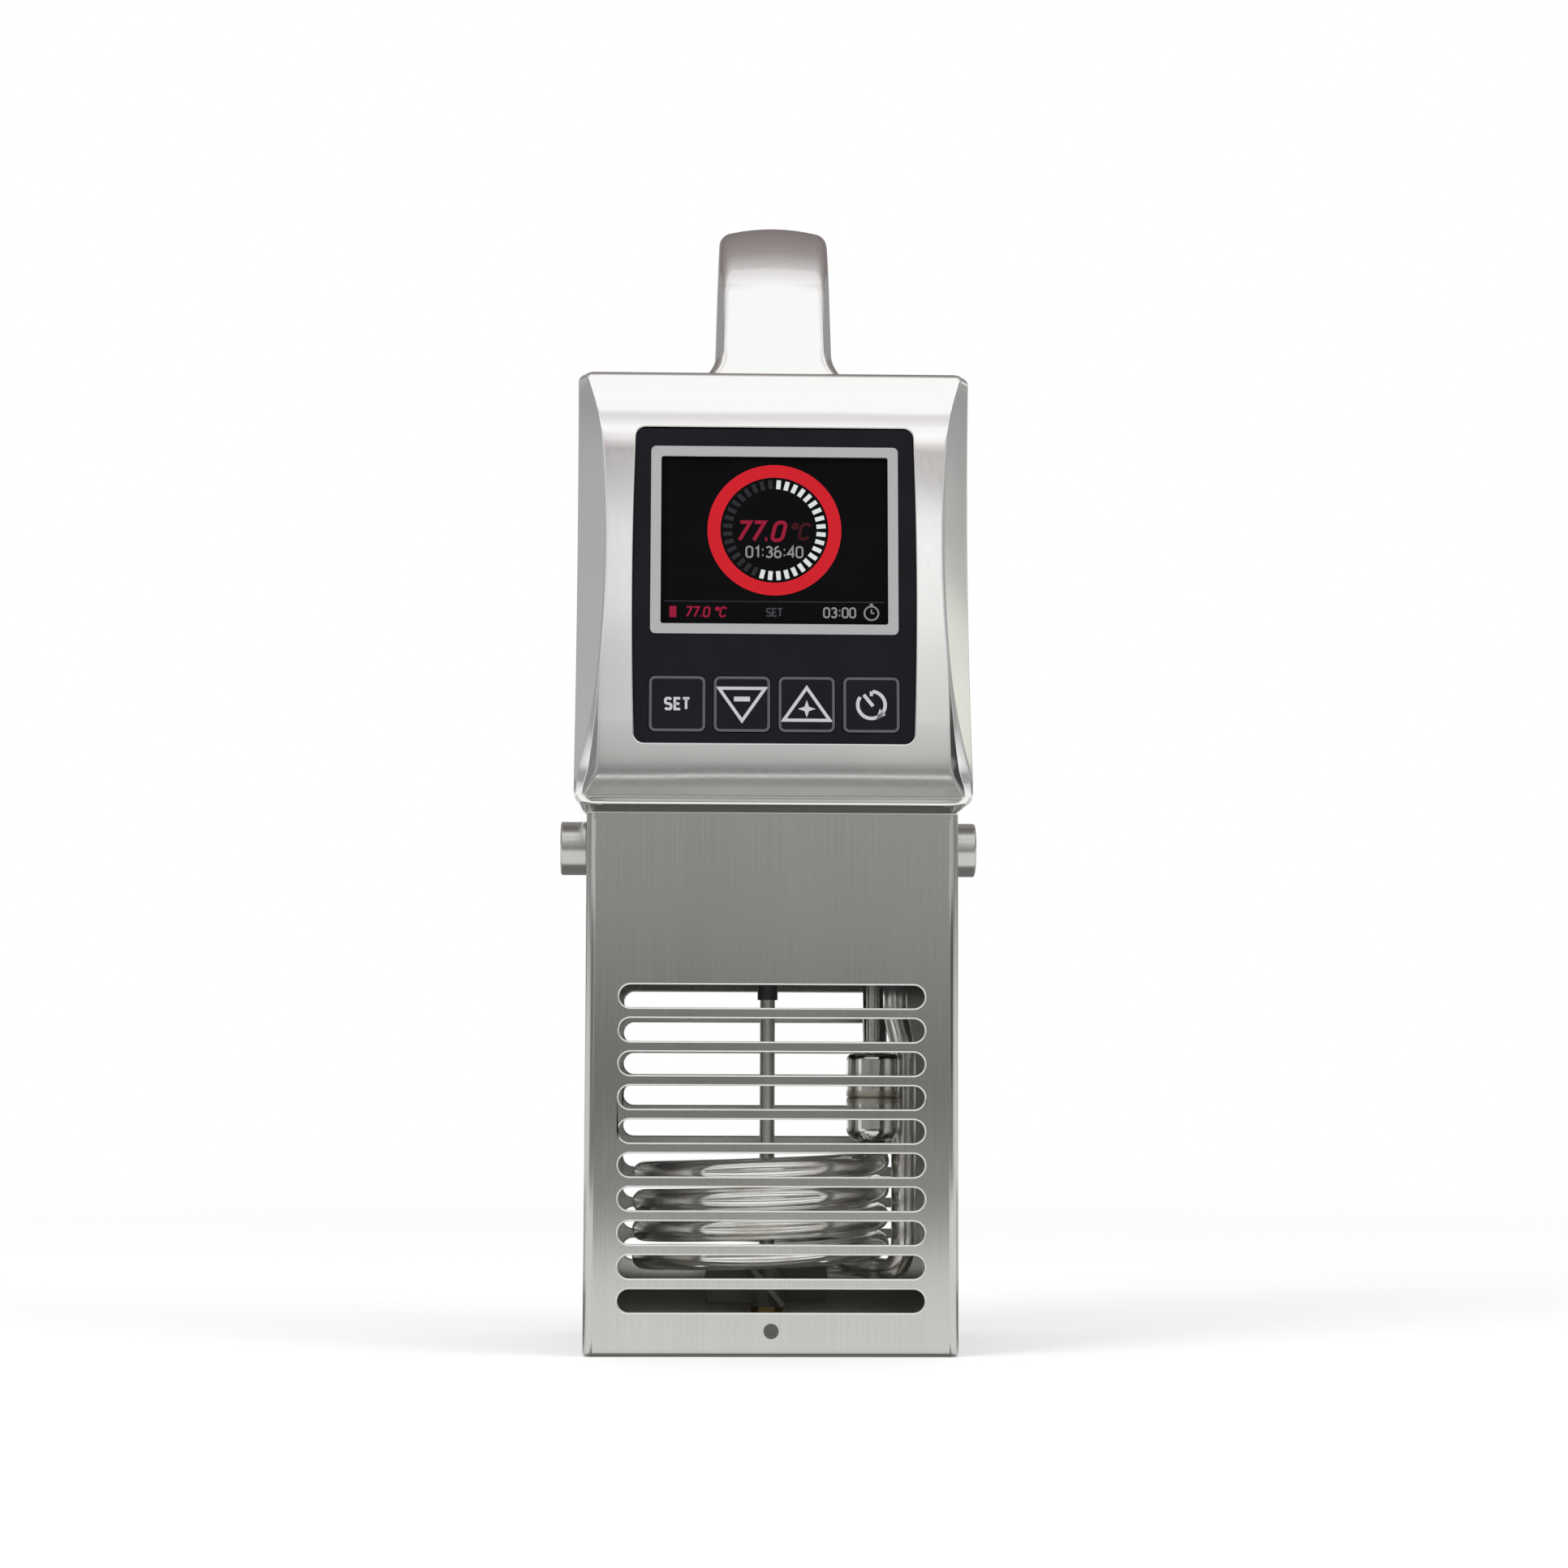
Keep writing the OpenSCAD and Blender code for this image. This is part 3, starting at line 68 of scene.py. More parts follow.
# Studio ------------------------------------------------------------------------------
# White surroundings, two large soft lamps, and a pale table whose rim melts into the
# white. Grey boards stand all round, where only polished metal sees them, and give it
# its darker reflections.


class Shade:
    """One output of a shader's nodes. Arithmetic on it adds Math nodes."""

    def __init__(self, tree, socket=None):
        self.tree = tree
        self.socket = socket

    def node(self, kind, settings=None, sockets=None, output=0):
        """Adds a node: its settings first, then the values or links of its sockets."""
        made = self.tree.nodes.new("ShaderNode" + kind)
        for name, value in (settings or {}).items():
            if name == "stops":
                self.fill_ramp(made.color_ramp, value)
            else:
                setattr(made, name, value)
        for name, value in (sockets or {}).items():
            if isinstance(value, Shade):
                self.tree.links.new(value.socket, made.inputs[name])
            else:
                made.inputs[name].default_value = value
        return Shade(self.tree, made.outputs[output])

    @staticmethod
    def fill_ramp(ramp, stops):
        """Gives a colour ramp these stops, each a place and a colour."""
        while len(ramp.elements) > 1:
            ramp.elements.remove(ramp.elements[-1])
        ramp.elements[0].position = stops[0][0]
        ramp.elements[0].color = (*stops[0][1], 1)
        for place, colour in stops[1:]:
            ramp.elements.new(place).color = (*colour, 1)

    def maths(self, operation, *values):
        """The outcome of a Math node on these values."""
        return self.node("Math", {"operation": operation}, dict(enumerate(values)))

    def __add__(self, other):
        return self.maths("ADD", self, other)

    __radd__ = __add__

    def __sub__(self, other):
        return self.maths("SUBTRACT", self, other)

    def __rsub__(self, other):
        return self.maths("SUBTRACT", other, self)

    def __mul__(self, other):
        return self.maths("MULTIPLY", self, other)

    __rmul__ = __mul__

    def __truediv__(self, other):
        return self.maths("DIVIDE", self, other)

    def __rtruediv__(self, other):
        return self.maths("DIVIDE", other, self)

    def spread(self, low, high, out_low=0.0, out_high=1.0):
        """Carries low..high over to out_low..out_high with soft ends, and stops there."""
        return self.node(
            "MapRange",
            {"interpolation_type": "SMOOTHSTEP"},
            {"Value": self, "From Min": low, "From Max": high, "To Min": out_low, "To Max": out_high},
        )

    def between(self, first, second):
        """The mix of two colours in which this value is the second one's share."""
        first, second = (c if isinstance(c, Shade) else (*c, 1) for c in (first, second))
        return self.node("Mix", {"data_type": "RGBA"}, {0: self, 6: first, 7: second}, 2)

    def varied(self, colour, low, high):
        """A colour that goes from low to high times itself as this value goes from 0 to 1."""
        return self.between([low * c for c in colour], [high * c for c in colour])

    def into(self, node, socket):
        """Links this output to a socket of a node that is already there."""
        self.tree.links.new(self.socket, node.inputs[socket])


def mesh_piece(name, points, faces, material, smooth=True):
    """A mesh object from arrays of points and faces, at the origin."""
    mesh = bpy.data.meshes.new(name)
    mesh.from_pydata(np.asarray(points).tolist(), [], [tuple(f) for f in faces])
    mesh.polygons.foreach_set("use_smooth", np.full(len(mesh.polygons), smooth))
    mesh.materials.append(material)
    mesh.update()
    piece = bpy.data.objects.new(name, mesh)
    bpy.context.collection.objects.link(piece)
    return piece


world = bpy.data.worlds.new("studio")
bpy.context.scene.world = world
world.use_nodes = True
sky = world.node_tree.nodes["Background"]
sky.inputs["Color"].default_value = (1, 1, 1, 1)
rays = Shade(world.node_tree)
seen = rays.node("LightPath", output="Is Camera Ray")
mirrored = rays.node("LightPath", output="Is Glossy Ray")
through = rays.node("LightPath", output="Is Transmission Ray")
ambient = 0.62
shown = seen.maths("MAXIMUM", seen, mirrored.maths("MAXIMUM", mirrored, through))
(ambient + (1 - ambient) * shown).into(sky, "Strength")

bpy.context.scene.view_settings.view_transform = "Standard"


def lamp(name, place, aim, size, power):
    """A square soft lamp at place that looks at aim and that polished metal doesn't mirror."""
    light = bpy.data.lights.new(name, "AREA")
    light.shape = "SQUARE"
    light.size = size
    light.energy = power
    holder = bpy.data.objects.new(name, light)
    holder.location = place
    way = np.subtract(aim, place)
    holder.rotation_euler = (
        np.arctan2(np.hypot(way[0], way[1]), -way[2]),
        0,
        np.arctan2(way[1], way[0]) - pi / 2,
    )
    holder.visible_glossy = False
    bpy.context.collection.objects.link(holder)


lamp_aim = (0, 0, 0.18)
lamp_size = 1.2
lamp("left_lamp", (-1.5, -1.3, 1.5), lamp_aim, lamp_size, 17)
lamp("right_lamp", (1.6, -0.9, 1.3), lamp_aim, lamp_size, 9)


def table_finish():
    """Pale matt table that melts into the white surroundings. Polished metal sees it light close by
    in front, darker further out there, grey at the sides, and dark round its own foot, where the
    object's shadow is painted into what the metal mirrors."""
    material = bpy.data.materials.new("table")
    material.use_nodes = True
    tree = material.node_tree
    tree.nodes.remove(tree.nodes["Principled BSDF"])
    start = Shade(tree)
    place = start.node("TexCoord", output="Object")
    reach = start.node("VectorMath", {"operation": "LENGTH"}, {0: place}, output="Value")
    matt = start.node("BsdfDiffuse", sockets={"Color": (0.94, 0.94, 0.94, 1)})
    glow = start.node("Emission", sockets={"Color": (1, 1, 1, 1), "Strength": 0.25})
    lifted = start.node("AddShader", sockets={0: matt, 1: glow})
    clear = start.node("BsdfTransparent")
    pale = start.node("MixShader", sockets={0: reach.spread(0.45, 1.5), 1: lifted, 2: clear})
    depth = place.node("SeparateXYZ", sockets={0: place}, output="Y")
    run = 2.4
    ahead = depth.node("ValToRGB", {"stops": [
        (0.0, (0.185, 0.185, 0.173)), (0.40, (0.25, 0.25, 0.235)), (0.50, (0.34, 0.34, 0.32)),
        (0.615, (0.50, 0.50, 0.48)), (0.69, (0.68, 0.68, 0.66)), (0.75, (0.84, 0.84, 0.82)),
        (0.80, (0.93, 0.93, 0.91)), (1.0, (0.96, 0.96, 0.94)),
    ]}, {0: (depth + run) / run})

    # In the metal the table is dark close beside and right before the guard's foot, a painted shadow
    # that only the metal mirrors, and grey further out at the sides.
    aside = place.node("SeparateXYZ", sockets={0: place}, output="X")
    offset = aside.maths("ABSOLUTE", aside)
    beside = offset.spread(0.052, 0.060) * offset.spread(0.16, 0.26, 1.0, 0.0)
    beside = beside * depth.spread(-0.06, -0.03)
    before = offset.spread(0.056, 0.062, 1.0, 0.0) * depth.spread(-0.075, -0.062)
    before = before * depth.spread(-0.050, -0.040, 1.0, 0.0)
    around = offset.spread(0.10, 0.25) * depth.spread(-0.06, 0.05) * reach.spread(1.0, 1.8, 1.0, 0.0)
    grounds = around.between(ahead, (0.60, 0.60, 0.585))
    grounds_with_painted_shadow = beside.maths("MAXIMUM", beside, before).between(grounds, (0.20, 0.20, 0.195))
    mirrored = start.node("Emission", sockets={"Color": grounds_with_painted_shadow, "Strength": 1.0})
    glossy = start.node("LightPath", output="Is Glossy Ray")
    shown = start.node("MixShader", sockets={0: glossy, 1: pale, 2: mirrored})
    shown.into(tree.nodes["Material Output"], 0)
    return material


table_r = 2.2
table_sides = 96
table_drop = 0.0002
turns = np.linspace(0, 2 * pi, table_sides + 1)[:-1]
table_points = np.column_stack((
    table_r * np.cos(turns), table_r * np.sin(turns), 0 * turns - table_drop,
))
table = mesh_piece("table", table_points, [range(table_sides)], table_finish(), smooth=False)


def board(name, corner, along, up, stops, across=((0.0, (1, 1, 1)),)):
    """A flat board from corner, along one side and up the other, that only mirrors see. Its
    tone follows stops, each a share of the way up and a grey, times across, the same the
    other way."""
    corner, along, up = (np.array(side, float) for side in (corner, along, up))
    material = bpy.data.materials.new(name)
    material.use_nodes = True
    tree = material.node_tree
    tree.nodes.remove(tree.nodes["Principled BSDF"])
    place = Shade(tree).node("TexCoord", output="Object")
    tones = []
    for side, ramp in ((up, stops), (along, across)):
        length = float(np.linalg.norm(side))
        way = tuple((side / length).tolist())
        run = place.node("VectorMath", {"operation": "DOT_PRODUCT"}, {0: place, 1: way}, "Value")
        share = (run - float(corner @ side) / length) / length
        tones.append(share.node("ValToRGB", {"stops": ramp}, {0: share}))
    tone = tones[0].node("VectorMath", {"operation": "MULTIPLY"}, {0: tones[0], 1: tones[1]})
    glow = tone.node("Emission", sockets={"Color": tone, "Strength": 1.0})
    glow.into(tree.nodes["Material Output"], 0)
    points = [corner, corner + along, corner + along + up, corner + up]
    made = mesh_piece(name, points, [(0, 1, 2, 3)], material, smooth=False)
    made.visible_camera = False
    made.visible_diffuse = False
    made.visible_shadow = False
    made.visible_transmission = False


def grey(tone, warmth=0.0):
    """A grey of this tone; warmth lifts its red and lowers its blue by that share."""
    return (tone * (1 + warmth), tone, tone * (1 - warmth))


wall_x = 2.2
ceiling_z = 2.0
board("front_board", (-3.0, -2.6, 0.0), (6.0, 0, 0), (0, 0, 1.9), [
    (0.0, grey(0.185, 0.02)), (0.035, grey(0.20, 0.02)), (0.06, grey(0.26, 0.02)),
    (0.12, grey(0.41, 0.015)), (0.20, grey(0.47, 0.012)), (0.42, grey(0.54, 0.01)),
    (0.50, grey(0.62, 0.01)), (0.53, grey(0.69, 0.01)), (0.57, grey(0.92)), (0.605, grey(0.84)),
    (0.625, grey(0.68)), (0.630, (0.40, 0.38, 0.38)), (0.652, (0.40, 0.38, 0.38)),
    (0.668, (0.60, 0.56, 0.56)), (0.74, (0.70, 0.655, 0.66)), (0.86, (0.92, 0.90, 0.90)),
    (1.0, (1.0, 1.0, 1.0)),
], [
    (0.0, (1, 1, 1)), (0.472, (0.8, 0.8, 0.8)), (0.483, (0.86, 0.86, 0.86)),
    (0.488, (1, 1, 1)), (0.522, (1, 1, 1)), (0.531, (1.12, 1.12, 1.11)), (0.56, (1, 1, 1)),
])
board("ceiling_board", (-wall_x, -0.85, ceiling_z), (2 * wall_x, 0, 0), (0, 4.0, 0), [
    (0.0, grey(0.97)), (0.12, grey(0.74)), (0.21, grey(0.56, 0.01)), (0.34, grey(0.42, 0.02)),
    (0.46, grey(0.33, 0.02)), (1.0, grey(0.30, 0.02)),
])
board("sky_board", (-wall_x, -2.35, ceiling_z), (2 * wall_x, 0, 0), (0, 1.0, 0), [
    (0.0, grey(1.0)), (0.15, grey(0.93)), (0.45, (0.80, 0.78, 0.78)), (0.66, (0.74, 0.715, 0.715)),
    (0.76, (0.88, 0.87, 0.87)), (0.84, grey(1.0)), (1.0, grey(1.0)),
])
board("handle_card", (-0.14, -0.100, 0.405), (0.28, 0, 0), (0, 0.20, 0), [
    (0.0, (0.62, 0.59, 0.59)), (0.02, (0.57, 0.54, 0.54)), (0.10, (0.43, 0.40, 0.40)),
    (0.16, (0.33, 0.30, 0.295)), (0.25, (0.28, 0.25, 0.24)), (0.33, (0.25, 0.225, 0.215)),
    (0.60, (0.20, 0.175, 0.17)), (1.0, (0.26, 0.24, 0.235)),
])
flank_tones = [
    (0.0, grey(0.95)), (0.18, grey(0.85)), (0.27, grey(0.60)), (0.32, grey(0.34)),
    (0.40, grey(0.32)), (1.0, grey(0.28)),
]
side_foot_tones = [(0.0, grey(0.74)), (0.12, grey(0.70)), (0.18, grey(0.34))]
side_top_tones = [(0.47, grey(0.30)), (1.0, grey(0.24))]
side_tones = {
    -1: side_foot_tones + [
        (0.28, grey(0.27)), (0.30, grey(0.41)), (0.35, grey(0.42)), (0.37, grey(0.46)),
        (0.44, grey(0.48)),
    ] + side_top_tones,
    1: side_foot_tones + [
        (0.28, grey(0.24)), (0.30, grey(0.34)), (0.325, grey(0.36)), (0.345, (0.80, 0.79, 0.72)),
        (0.44, (0.92, 0.91, 0.84)),
    ] + side_top_tones,
}
rear_tones = [(0.0, grey(0.44)), (0.25, grey(0.40)), (0.33, grey(0.34)), (1.0, grey(0.30))]
gap_tones = {
    -1: [
        (0.0, grey(0.30)), (0.17, grey(0.26)), (0.22, grey(0.20)), (0.57, grey(0.22)),
        (0.66, grey(0.7)),
    ],
    1: [
        (0.0, grey(0.30)), (0.17, grey(0.22)), (0.22, grey(0.05)), (0.57, grey(0.05)),
        (0.66, grey(0.6)),
    ],
}
for side in (-1, 1):
    board(
        f"flank_board_{side + 1}", (side * wall_x, -1.5, 0.0), (0, 2.5, 0), (0, 0, 2.4),
        flank_tones,
    )
    board(
        f"side_board_{side + 1}", (side * wall_x, 1.0, 0.0), (0, 2.0, 0), (0, 0, 2.4),
        side_tones[side],
    )
    board(
        f"rear_board_{side + 1}", (side * 0.2, 3.0, 0.42), (side * 2.0, 0, 0), (0, 0, 2.0),
        rear_tones,
    )
    board(
        f"gap_board_{side + 1}", (side * 0.8, -2.4, 0), (side * 1.2, 0.9, 0), (0, 0, 1.5),
        gap_tones[side],
    )


# Base plate, collar, bracket, rear cover -----------------------------------------------
# Laser-cut stainless sheet with a satin, fine-grained face, folded where it turns. The collar under
# the head stays in the shade of its lip, and its colour is darkened to paint that shade; the base
# plate's is darkened a little for the shade under the head.


def finish(name, colour, roughness, metallic=0.0, **constants):
    """A new material: returns it, its shader and the Object coordinates in it."""
    material = bpy.data.materials.new(name)
    material.use_nodes = True
    shader = material.node_tree.nodes["Principled BSDF"]
    shader.inputs["Base Color"].default_value = (*colour, 1)
    shader.inputs["Roughness"].default_value = roughness
    shader.inputs["Metallic"].default_value = metallic
    for socket, value in constants.items():
        shader.inputs[socket.replace("_", " ")].default_value = value
    place = Shade(material.node_tree).node("TexCoord", output="Object")
    return material, shader, place


def grain(place, scale, detail=2.0, rough=0.5):
    """Noise on coordinates that are stretched by scale along each axis, from 0 to 1."""
    stretched = place.node("VectorMath", {"operation": "MULTIPLY"}, {0: place, 1: scale})
    return place.node(
        "TexNoise", sockets={"Vector": stretched, "Scale": 1.0, "Detail": detail, "Roughness": rough}
    )


def emboss(shader, height, distance):
    """Raises the surface by height times distance in the shading."""
    bump = height.node("Bump", sockets={"Height": height, "Distance": distance, "Strength": 1.0})
    bump.into(shader, "Normal")


def dress(material, *nodes):
    """Gives CAD nodes this material."""
    for node in nodes:
        for material_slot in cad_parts[node].material_slots:
            material_slot.material = material


def sheet_steel(name, colour=(0.58, 0.58, 0.56), roughness=0.34):
    """Satin sheet: short fine scratches one way, and faint cloudy dulling."""
    material, shader, place = finish(name, colour, roughness, 1.0)
    scratches = grain(place, (900, 900, 60), 3.0)
    clouds = grain(place, (28, 28, 28))
    (roughness - 0.11 + 0.16 * scratches + 0.06 * clouds).into(shader, "Roughness")
    scratches.varied(colour, 0.9, 1.07).into(shader, "Base Color")
    emboss(shader, scratches, 0.00002)
    return material


dress(sheet_steel("satin_sheet"), "clamp_bracket", "rear_cover", "board_brackets")
# Painted shade: the base plate is more polished, and its colour is darkened a little for the shade
# under the head.
dress(sheet_steel("polished_sheet_painted_shade", (0.50, 0.49, 0.475), 0.18), "base_plate")
# Painted shade: the collar's colour is darkened for the shade of the head's lip.
dress(sheet_steel("collar_sheet_painted_shade", (0.20, 0.195, 0.185), 0.30), "mounting_collar")


# Gaskets, seals and clamp pad ----------------------------------------------------------
# Black rubber, moulded or cut from sheet, with a dull bloom on it. Gaskets and seals are
# squeezed between the parts they close; the pad sits on the end of the clamp's spindle.


def rubber_finish():
    """Dull black with a powdery bloom and a fine pebble."""
    material, shader, place = finish("black_rubber", (0.022, 0.022, 0.023), 0.72)
    bloom = grain(place, (90, 90, 90), 4.0)
    pebble = grain(place, (2200, 2200, 2200))
    bloom.between((0.014, 0.014, 0.015), (0.040, 0.040, 0.041)).into(shader, "Base Color")
    (0.62 + 0.2 * bloom).into(shader, "Roughness")
    emboss(shader, pebble, 0.00004)
    return material


dress(
    rubber_finish(),
    "base_gasket", "rear_cover_gasket", "shaft_seal", "gland_seal", "clamp_pad",
)


# Motor ---------------------------------------------------------------------------------
# A cast mount on the base plate carries the motor: an enamelled can with a stack of
# stamped plates inside, and a ground rotor that turns with the stirrer's shaft.


def casting_finish():
    """Sand-cast aluminium: pale, grainy, with a few darker pits."""
    material, shader, place = finish("cast_aluminium", (0.55, 0.56, 0.57), 0.45, 1.0)
    skin = grain(place, (500, 500, 500), 5.0, 0.6)
    skin.between((0.42, 0.43, 0.44), (0.66, 0.67, 0.68)).into(shader, "Base Color")
    (0.36 + 0.22 * skin).into(shader, "Roughness")
    emboss(shader, skin, 0.00015)
    return material


def enamel_finish():
    """Black stoving enamel with a slight orange peel."""
    material, shader, place = finish("black_enamel", (0.03, 0.03, 0.033), 0.3, Coat_Weight=0.6)
    peel = grain(place, (300, 300, 300))
    peel.between((0.024, 0.024, 0.027), (0.040, 0.040, 0.043)).into(shader, "Base Color")
    (0.24 + 0.14 * peel).into(shader, "Roughness")
    emboss(shader, peel, 0.00008)
    return material


def stamping_finish():
    """Stacked half-millimetre plates with dark seams between them."""
    material, shader, place = finish("stacked_plates", (0.32, 0.32, 0.33), 0.45, 1.0)
    height = place.node("SeparateXYZ", sockets={0: place}, output="Z")
    seam = (height * 2000.0).maths("FRACT", height * 2000.0).spread(0.06, 0.16)
    blotch = grain(place, (120, 120, 700))
    seam.between((0.07, 0.065, 0.06), blotch.between((0.25, 0.25, 0.26), (0.4, 0.4, 0.41))).into(
        shader, "Base Color"
    )
    (0.6 - 0.2 * seam).into(shader, "Roughness")
    emboss(shader, seam, 0.0001)
    return material


dress(casting_finish(), "motor_mount")
dress(enamel_finish(), "motor_case")
dress(stamping_finish(), "motor_stator")


# Turned steel --------------------------------------------------------------------------
# Screws, shaft, stems, bushes, knobs and washers come off a lathe: fine rings run round
# each one's own axis.


def turned_steel(name, axis, colour=(0.60, 0.60, 0.585), roughness=0.2):
    """Bright steel with lathe rings square to axis, which is 0, 1 or 2 for X, Y or Z."""
    material, shader, place = finish(name, colour, roughness, 1.0)
    pitch = [40, 40, 40]
    pitch[axis] = 3200
    rings = grain(place, pitch, 2.0)
    smudge = grain(place, (150, 150, 150), 3.0)
    (roughness - 0.07 + 0.12 * rings + 0.06 * smudge).into(shader, "Roughness")
    rings.varied(colour, 0.92, 1.06).into(shader, "Base Color")
    emboss(shader, rings, 0.00001)
    return material


dress(
    turned_steel("turned_across", 0),
    "left_knob", "right_knob", "left_washer", "right_washer", "knob_bushes",
)
dress(turned_steel("turned_lengthwise", 1), "clamp_spindle", "rear_cover_screws", "board_screws")
dress(
    turned_steel("turned_upright", 2),
    "motor_rotor", "motor_screws", "shaft_bearing", "agitator_shaft", "float_stem", "handle_screws",
    "base_plate_screws", "clamp_bracket_screws",
)


# Level float ---------------------------------------------------------------------------
# Two drawn steel cups, welded round the middle and polished. The float rides up its stem
# as the water rises, between two stops.


def float_finish():
    """Polished drawn steel, dulled and browned a little beside the weld."""
    material, shader, place = finish("drawn_float", (0.7, 0.7, 0.68), 0.1, 1.0)
    low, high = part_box("level_float")
    height = place.node("SeparateXYZ", sockets={0: place}, output="Z")
    off_weld = abs(high.z - low.z) / 2
    near = (height - (low.z + off_weld)).maths("ABSOLUTE", height - (low.z + off_weld))
    weld = near.spread(0.0012, 0.003, 1.0, 0.0)
    drawn = grain(place, (900, 900, 90))
    weld.between((0.7, 0.7, 0.68), (0.5, 0.46, 0.4)).into(shader, "Base Color")
    (0.07 + 0.07 * drawn + 0.25 * weld).into(shader, "Roughness")
    emboss(shader, drawn, 0.00001)
    return material


dress(float_finish(), "level_float")


# Brass fittings ------------------------------------------------------------------------
# Nuts of the heater, probe and shaft and the clamp's bush, turned from brass bar that has
# gone brown and spotted in the steam.


def brass_finish():
    """Turned brass with brown tarnish in soft patches."""
    material, shader, place = finish("tarnished_brass", (0.5, 0.34, 0.13), 0.3, 1.0)
    patches = grain(place, (160, 160, 160), 4.0).spread(0.35, 0.7)
    turning = grain(place, (60, 60, 2600))
    patches.between((0.56, 0.40, 0.17), (0.27, 0.16, 0.07)).into(shader, "Base Color")
    (0.2 + 0.2 * patches + 0.1 * turning).into(shader, "Roughness")
    emboss(shader, turning, 0.00001)
    return material


dress(brass_finish(), "heater_glands", "probe_gland", "impeller_nut", "clamp_bush")


# Stirrer sleeve, impeller and float stops ----------------------------------------------
# Injection-moulded in a dark heat-proof plastic. The sleeve and the stops are pushed on
# their rods, and the impeller is held on the shaft's end by its nut.


def moulded_finish(name, colour, roughness=0.42, gloss=0.5):
    """Moulded plastic: a fine spark-eroded grain and slow changes of gloss."""
    material, shader, place = finish(name, colour, roughness, Specular_IOR_Level=gloss)
    skin = grain(place, (3000, 3000, 3000))
    flow = grain(place, (70, 70, 70), 2.0)
    flow.varied(colour, 0.8, 1.35).into(shader, "Base Color")
    (roughness - 0.08 + 0.1 * skin + 0.1 * flow).into(shader, "Roughness")
    emboss(shader, skin, 0.00003)
    return material


dress(moulded_finish("stirrer_plastic", (0.045, 0.043, 0.04)), "shaft_sleeve", "float_stops")
dress(moulded_finish("impeller_plastic", (0.17, 0.17, 0.155), 0.3), "impeller")


# Boards and their parts ----------------------------------------------------------------
# Two lacquered circuit boards, the switches behind the keys, the parts of the power
# board and the display module.


def circuit_finish():
    """Green lacquer over copper tracks, which stand out paler on a square grid."""
    material, shader, place = finish("lacquered_board", (0.02, 0.13, 0.05), 0.3)
    cells = place.node("VectorMath", {"operation": "SCALE"}, {0: place, "Scale": 420.0})
    tracks = place.node(
        "TexVoronoi",
        {"distance": "MANHATTAN", "feature": "F2"},
        {"Vector": cells, "Scale": 1.0, "Randomness": 0.35},
    )
    raised = tracks.spread(0.62, 0.78)
    raised.between((0.012, 0.10, 0.035), (0.035, 0.21, 0.08)).into(shader, "Base Color")
    (0.36 - 0.12 * raised).into(shader, "Roughness")
    emboss(shader, raised, 0.00005)
    return material


dress(circuit_finish(), "control_board", "power_board")
dress(moulded_finish("component_plastic", (0.03, 0.031, 0.034), 0.5), "tact_switches", "power_parts")
dress(moulded_finish("module_plastic", (0.05, 0.05, 0.055), 0.55), "display_module")


# Temperature probe and heater tube -----------------------------------------------------
# Thin-walled stainless tube. The heater comes down its front leg, winds up round the
# stirrer in flat turns and goes back up its rear leg.

tube_r = 0.004
coil_r = 0.038
coil_x = -0.002
coil_pitch = 0.009
coil_z = 0.030
coil_turns = 4
coil_start = -252
coil_end = 360 * (coil_turns - 1) + 90
coil_step = 4
leg_x = 0.0418
leg_y = -0.002
leg_gap = 0.0006
low_leg_x = coil_x + coil_r + 2 * tube_r + leg_gap
leg_foot_rise = 0.006
sleeve_z = 0.1115

# The front leg steps outwards past the coil below its sleeve. A pull is how far a curve
# keeps on the way in which it starts or ends.
joggle = 0.020
joggle_pulls = (0.009, 0.011)
leg_pull = 0.016
coil_pull = 0.014
rear_bend = 0.012
tube_ease = 0.995
tube_sides = 28


def heated_steel():
    """Drawn tube, mirror bright, with pale straw and grey blooms where it runs hot."""
    material, shader, place = finish("heater_tube", (0.94, 0.94, 0.92), 0.12, 0.84)
    height = place.node("SeparateXYZ", sockets={0: place}, output="Z")
    hot = height.spread(0.05, 0.085, 1.0, 0.0)
    bloom = grain(place, (55, 55, 110), 4.0).spread(0.42, 0.75) * hot
    drawn = grain(place, (700, 700, 700), 3.0)
    bloom.between((0.92, 0.92, 0.90), (0.66, 0.62, 0.55)).into(shader, "Base Color")
    (0.09 + 0.06 * drawn + 0.16 * bloom).into(shader, "Roughness")
    emboss(shader, drawn, 0.00001)
    return material


def bezier(ends, count):
    """Cubic curve between the first and last of four points, without its first point."""
    t = np.linspace(0, 1, count + 1)[1:, None]
    s = 1 - t
    a, b, c, d = (np.array(p, float) for p in ends)
    return s**3 * a + 3 * s * s * t * b + 3 * s * t * t * c + t**3 * d


def coil_points(degrees):
    """Points of a helix about the stirrer: it starts at the front and rises with the angle."""
    angle = np.radians(np.atleast_1d(degrees) - 90)
    return np.column_stack((
        coil_x + coil_r * np.cos(angle),
        coil_r * np.sin(angle),
        coil_z + coil_pitch * np.atleast_1d(degrees) / 360,
    ))


def loop_walls(rings, sides):
    """Quads between closed rings that follow one another: a point, the next one round its
    ring, and the same two of the next ring, from the far one back."""
    i, j = np.meshgrid(np.arange(rings - 1), np.arange(sides), indexing="ij")
    near = i * sides + j
    beside = i * sides + (j + 1) % sides
    return np.stack((near, beside, beside + sides, near + sides), axis=-1).reshape(-1, 4)


